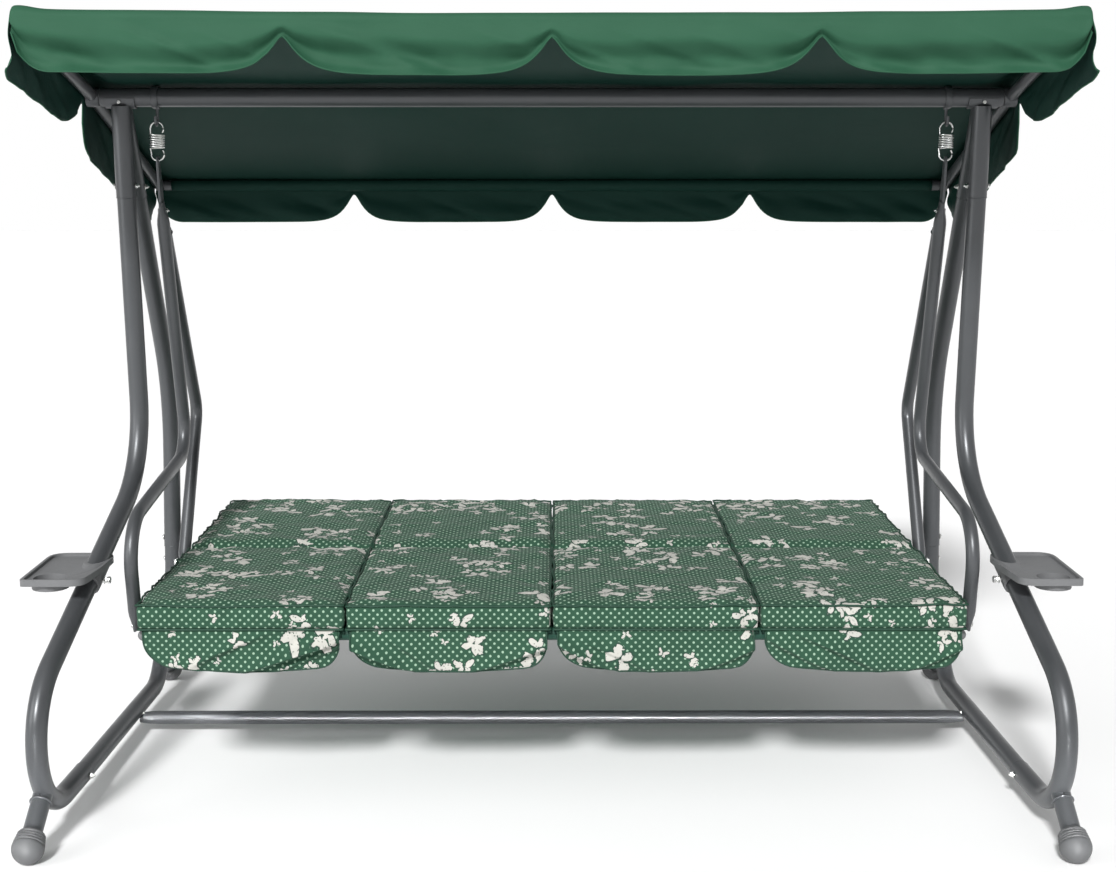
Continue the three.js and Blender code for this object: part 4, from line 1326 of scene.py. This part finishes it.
def cover_top(sheet, profile, along):
    """Adds the cover's two slopes, which rise a little where the side tubes push them up."""
    columns = 216
    lines = []
    for i in range(columns + 1):
        x = -SHEET_HALF + 2 * SHEET_HALF * i / columns
        over_tube = math.exp(-((SHEET_HALF - 0.015 - abs(x)) / 0.035) ** 2)
        line = []
        for k, (y, z) in enumerate(profile):
            held = min(1.0, min(k, len(profile) - 1 - k) / 20)
            wave = 0.004 * noise.noise(Vector((x * 4.5, y * 5, 0.4))) * held
            lift = 0.016 * over_tube * held + 0.009 * (x / SHEET_HALF) ** 2 * smooth_step(-y / 0.6)
            line.append((place(x, y, z + wave + lift), (x, along[k]), None))
        lines.append(line)
    return sheet.strip(lines)


def canopy_sheet():
    """The whole cover as one mesh: two slopes and four borders, with slits at its corners."""
    sheet = Sheet()
    profile = canopy_profile()
    along = running_length(profile)
    ids = cover_top(sheet, profile, along)
    front = hang_border(sheet, [column[0] for column in ids],
                        lambda p: tab_depth(p.x, 0.032, FRONT_DROP, 0.042),
                        lambda p, down: (p.x, -down), FORWARD, (0.010, 0.032, 1.0, 16), True)
    rear = hang_border(sheet, [column[-1] for column in ids],
                       lambda p: tab_depth(p.x, 0.022, REAR_DROP, 0.032),
                       lambda p, down: (p.x, along[-1] + down), -FORWARD, (0.004, 0.010, 0.8, 12))
    edges = [front, rear]
    for side, column in ((-1, ids[0]), (1, ids[-1])):
        lengths = {tuple(sheet.vertices[vertex]): length for vertex, length in zip(column, along)}
        edges.append(hang_border(sheet, column, lambda p: p.z - side_bottom(p.y - BEAM.y),
                                 lambda p, down: (side * (SHEET_HALF + down), lengths[tuple(p)]),
                                 RIGHT * side, (0.016, 0.010, 0.5, 12), side > 0))
    return sheet, edges


def add_canopy():
    sheet, edges = canopy_sheet()
    cover = add_piece("canopy_cover", [(sheet.vertices, sheet.faces, 0)], [CANOPY, UNDERSIDE_SHADE], "canopy",
                      ["canopy_sheet_front", "canopy_sheet_rear", "valance_front", "valance_rear",
                       "valance_side_right", "valance_side_left"], None, sheet.uvs)
    hems = [sweep([sheet.vertices[v] for v in edge], 0.0019, Vector((0, 0.3, 1)), 8) for edge in edges]
    hem = add_piece("canopy_hems", hems, [CANOPY], "canopy", (), None)
    # The pockets under the cover take the darker underside material: painted shade.
    pockets = add_piece("canopy_pockets", [tube_pocket(FRONT_TUBE), tube_pocket(REAR_TUBE)], [UNDERSIDE_SHADE],
                        "canopy", (), None)
    smooth = cover.modifiers.new("Subdivision", "SUBSURF")
    smooth.levels = smooth.render_levels = 1
    thick = cover.modifiers.new("Solidify", "SOLIDIFY")
    thick.thickness = 0.0011
    thick.offset = -1
    # The inner shell takes the second, darker material: painted shade of the canopy's underside.
    thick.material_offset = 1


def tube_pocket(tube):
    """The sewn pocket of cloth that holds the cover on one of its cross tubes."""
    reach = SHEET_HALF - 0.052
    line = straight(place(-reach, *tube), place(reach, *tube), 160)

    def section(distance, total):
        ripple = 0.0008 * noise.noise(Vector((distance * 14, tube[0] * 9, 2.0)))
        return 0.0166 + ripple, 0.0166 - ripple
    return sweep(line, section, UP, 20)


# ---------------------------------------------------------------- trays
def add_trays():
    """The moulded trays, each clamped to its leg by a bolt under the tray."""
    for name, side in SIDES:
        refined(f"cup_tray_{name}", PLASTIC, 0.0016, "frame")
        at = place(1.0905, -0.360, 0.508, side)
        inner = RIGHT * -side
        shapes = bolt(at - inner * 0.0300, at + inner * 0.0315, 0.0075)
        shapes.append(disc(at + inner * 0.040, inner, 0.0085, 0.006, 1))
        add_piece(f"tray_bolt_{name}", shapes, [METAL, ZINC], "frame", ())


# ---------------------------------------------------------------- setting
def add_sky():
    """White at the horizon and dimmer overhead, like a bright room with a dark ceiling."""
    world = bpy.data.worlds.new("studio")
    bpy.context.scene.world = world
    world.use_nodes = True
    tree = world.node_tree
    way = add_node(tree, "SeparateXYZ", {0: add_node(tree, "TexCoord", {})["Generated"]})
    strength = ramp(tree, way[2], 0.09, 0.24, 1.0, 0.42)
    set_inputs(tree, tree.nodes["Background"], {"Color": (1, 1, 1), "Strength": strength})


def add_light(name, kind, location, energy, size, target=(0, 0, 0.9)):
    light = bpy.data.lights.new(name, kind)
    light.energy = energy
    if kind == "SUN":
        light.angle = size
    else:
        light.size = size
    lamp = bpy.data.objects.new(name, light)
    bpy.context.scene.collection.objects.link(lamp)
    lamp.location = location
    lamp.rotation_euler = (Vector(target) - lamp.location).to_track_quat("-Z", "Y").to_euler()
    return light


def add_floor():
    bpy.ops.mesh.primitive_plane_add(size=60, location=(0, 0, 0))
    floor = bpy.context.object
    floor.name = "floor"
    material, tree, shader = new_material("floor_white")
    set_inputs(tree, shader, {"Base Color": (0.93, 0.93, 0.93), "Roughness": 0.9})
    floor.data.materials.append(material)


def add_setting():
    """Plain pale floor, soft studio light and the camera."""
    add_floor()
    add_sky()
    add_light("sun", "SUN", (-1.3, -6.4, 6.0), 3.5, math.radians(9))
    add_light("softbox", "AREA", (-4.4, -2.6, 2.0), 60, 2.2)
    strip = add_light("low_strip", "AREA", (0, -3.6, 0.12), 3.2, 2.7, (0, 0, 0.10))
    strip.shape = "RECTANGLE"
    strip.size_y = 0.10
    strip.spread = math.radians(6)
    camera_data = bpy.data.cameras.new("camera")
    camera_data.lens = 54.84
    camera_data.sensor_width = 36
    camera = bpy.data.objects.new("camera", camera_data)
    bpy.context.scene.collection.objects.link(camera)
    camera.location = (0, BEAM.y - 4.275, 1.50)
    camera.rotation_euler = (math.radians(90 - 9.39), 0, math.radians(-0.2))
    bpy.context.scene.camera = camera
    bpy.context.scene.view_settings.view_transform = "Standard"


add_setting()
for label, sign in SIDES:
    add_front_leg(label, sign)
    add_rear_leg(label, sign)
    add_bracket(label, sign)
    add_hook(label, sign)
    add_spring(label, sign)
    add_front_arm(label, sign)
    add_rear_arm(label, sign)
add_feet()
add_beam()
add_crossbar()
add_frames()
add_trays()
add_canopy_frame()
add_canopy()
add_cushions()

bpy.context.view_layer.update()
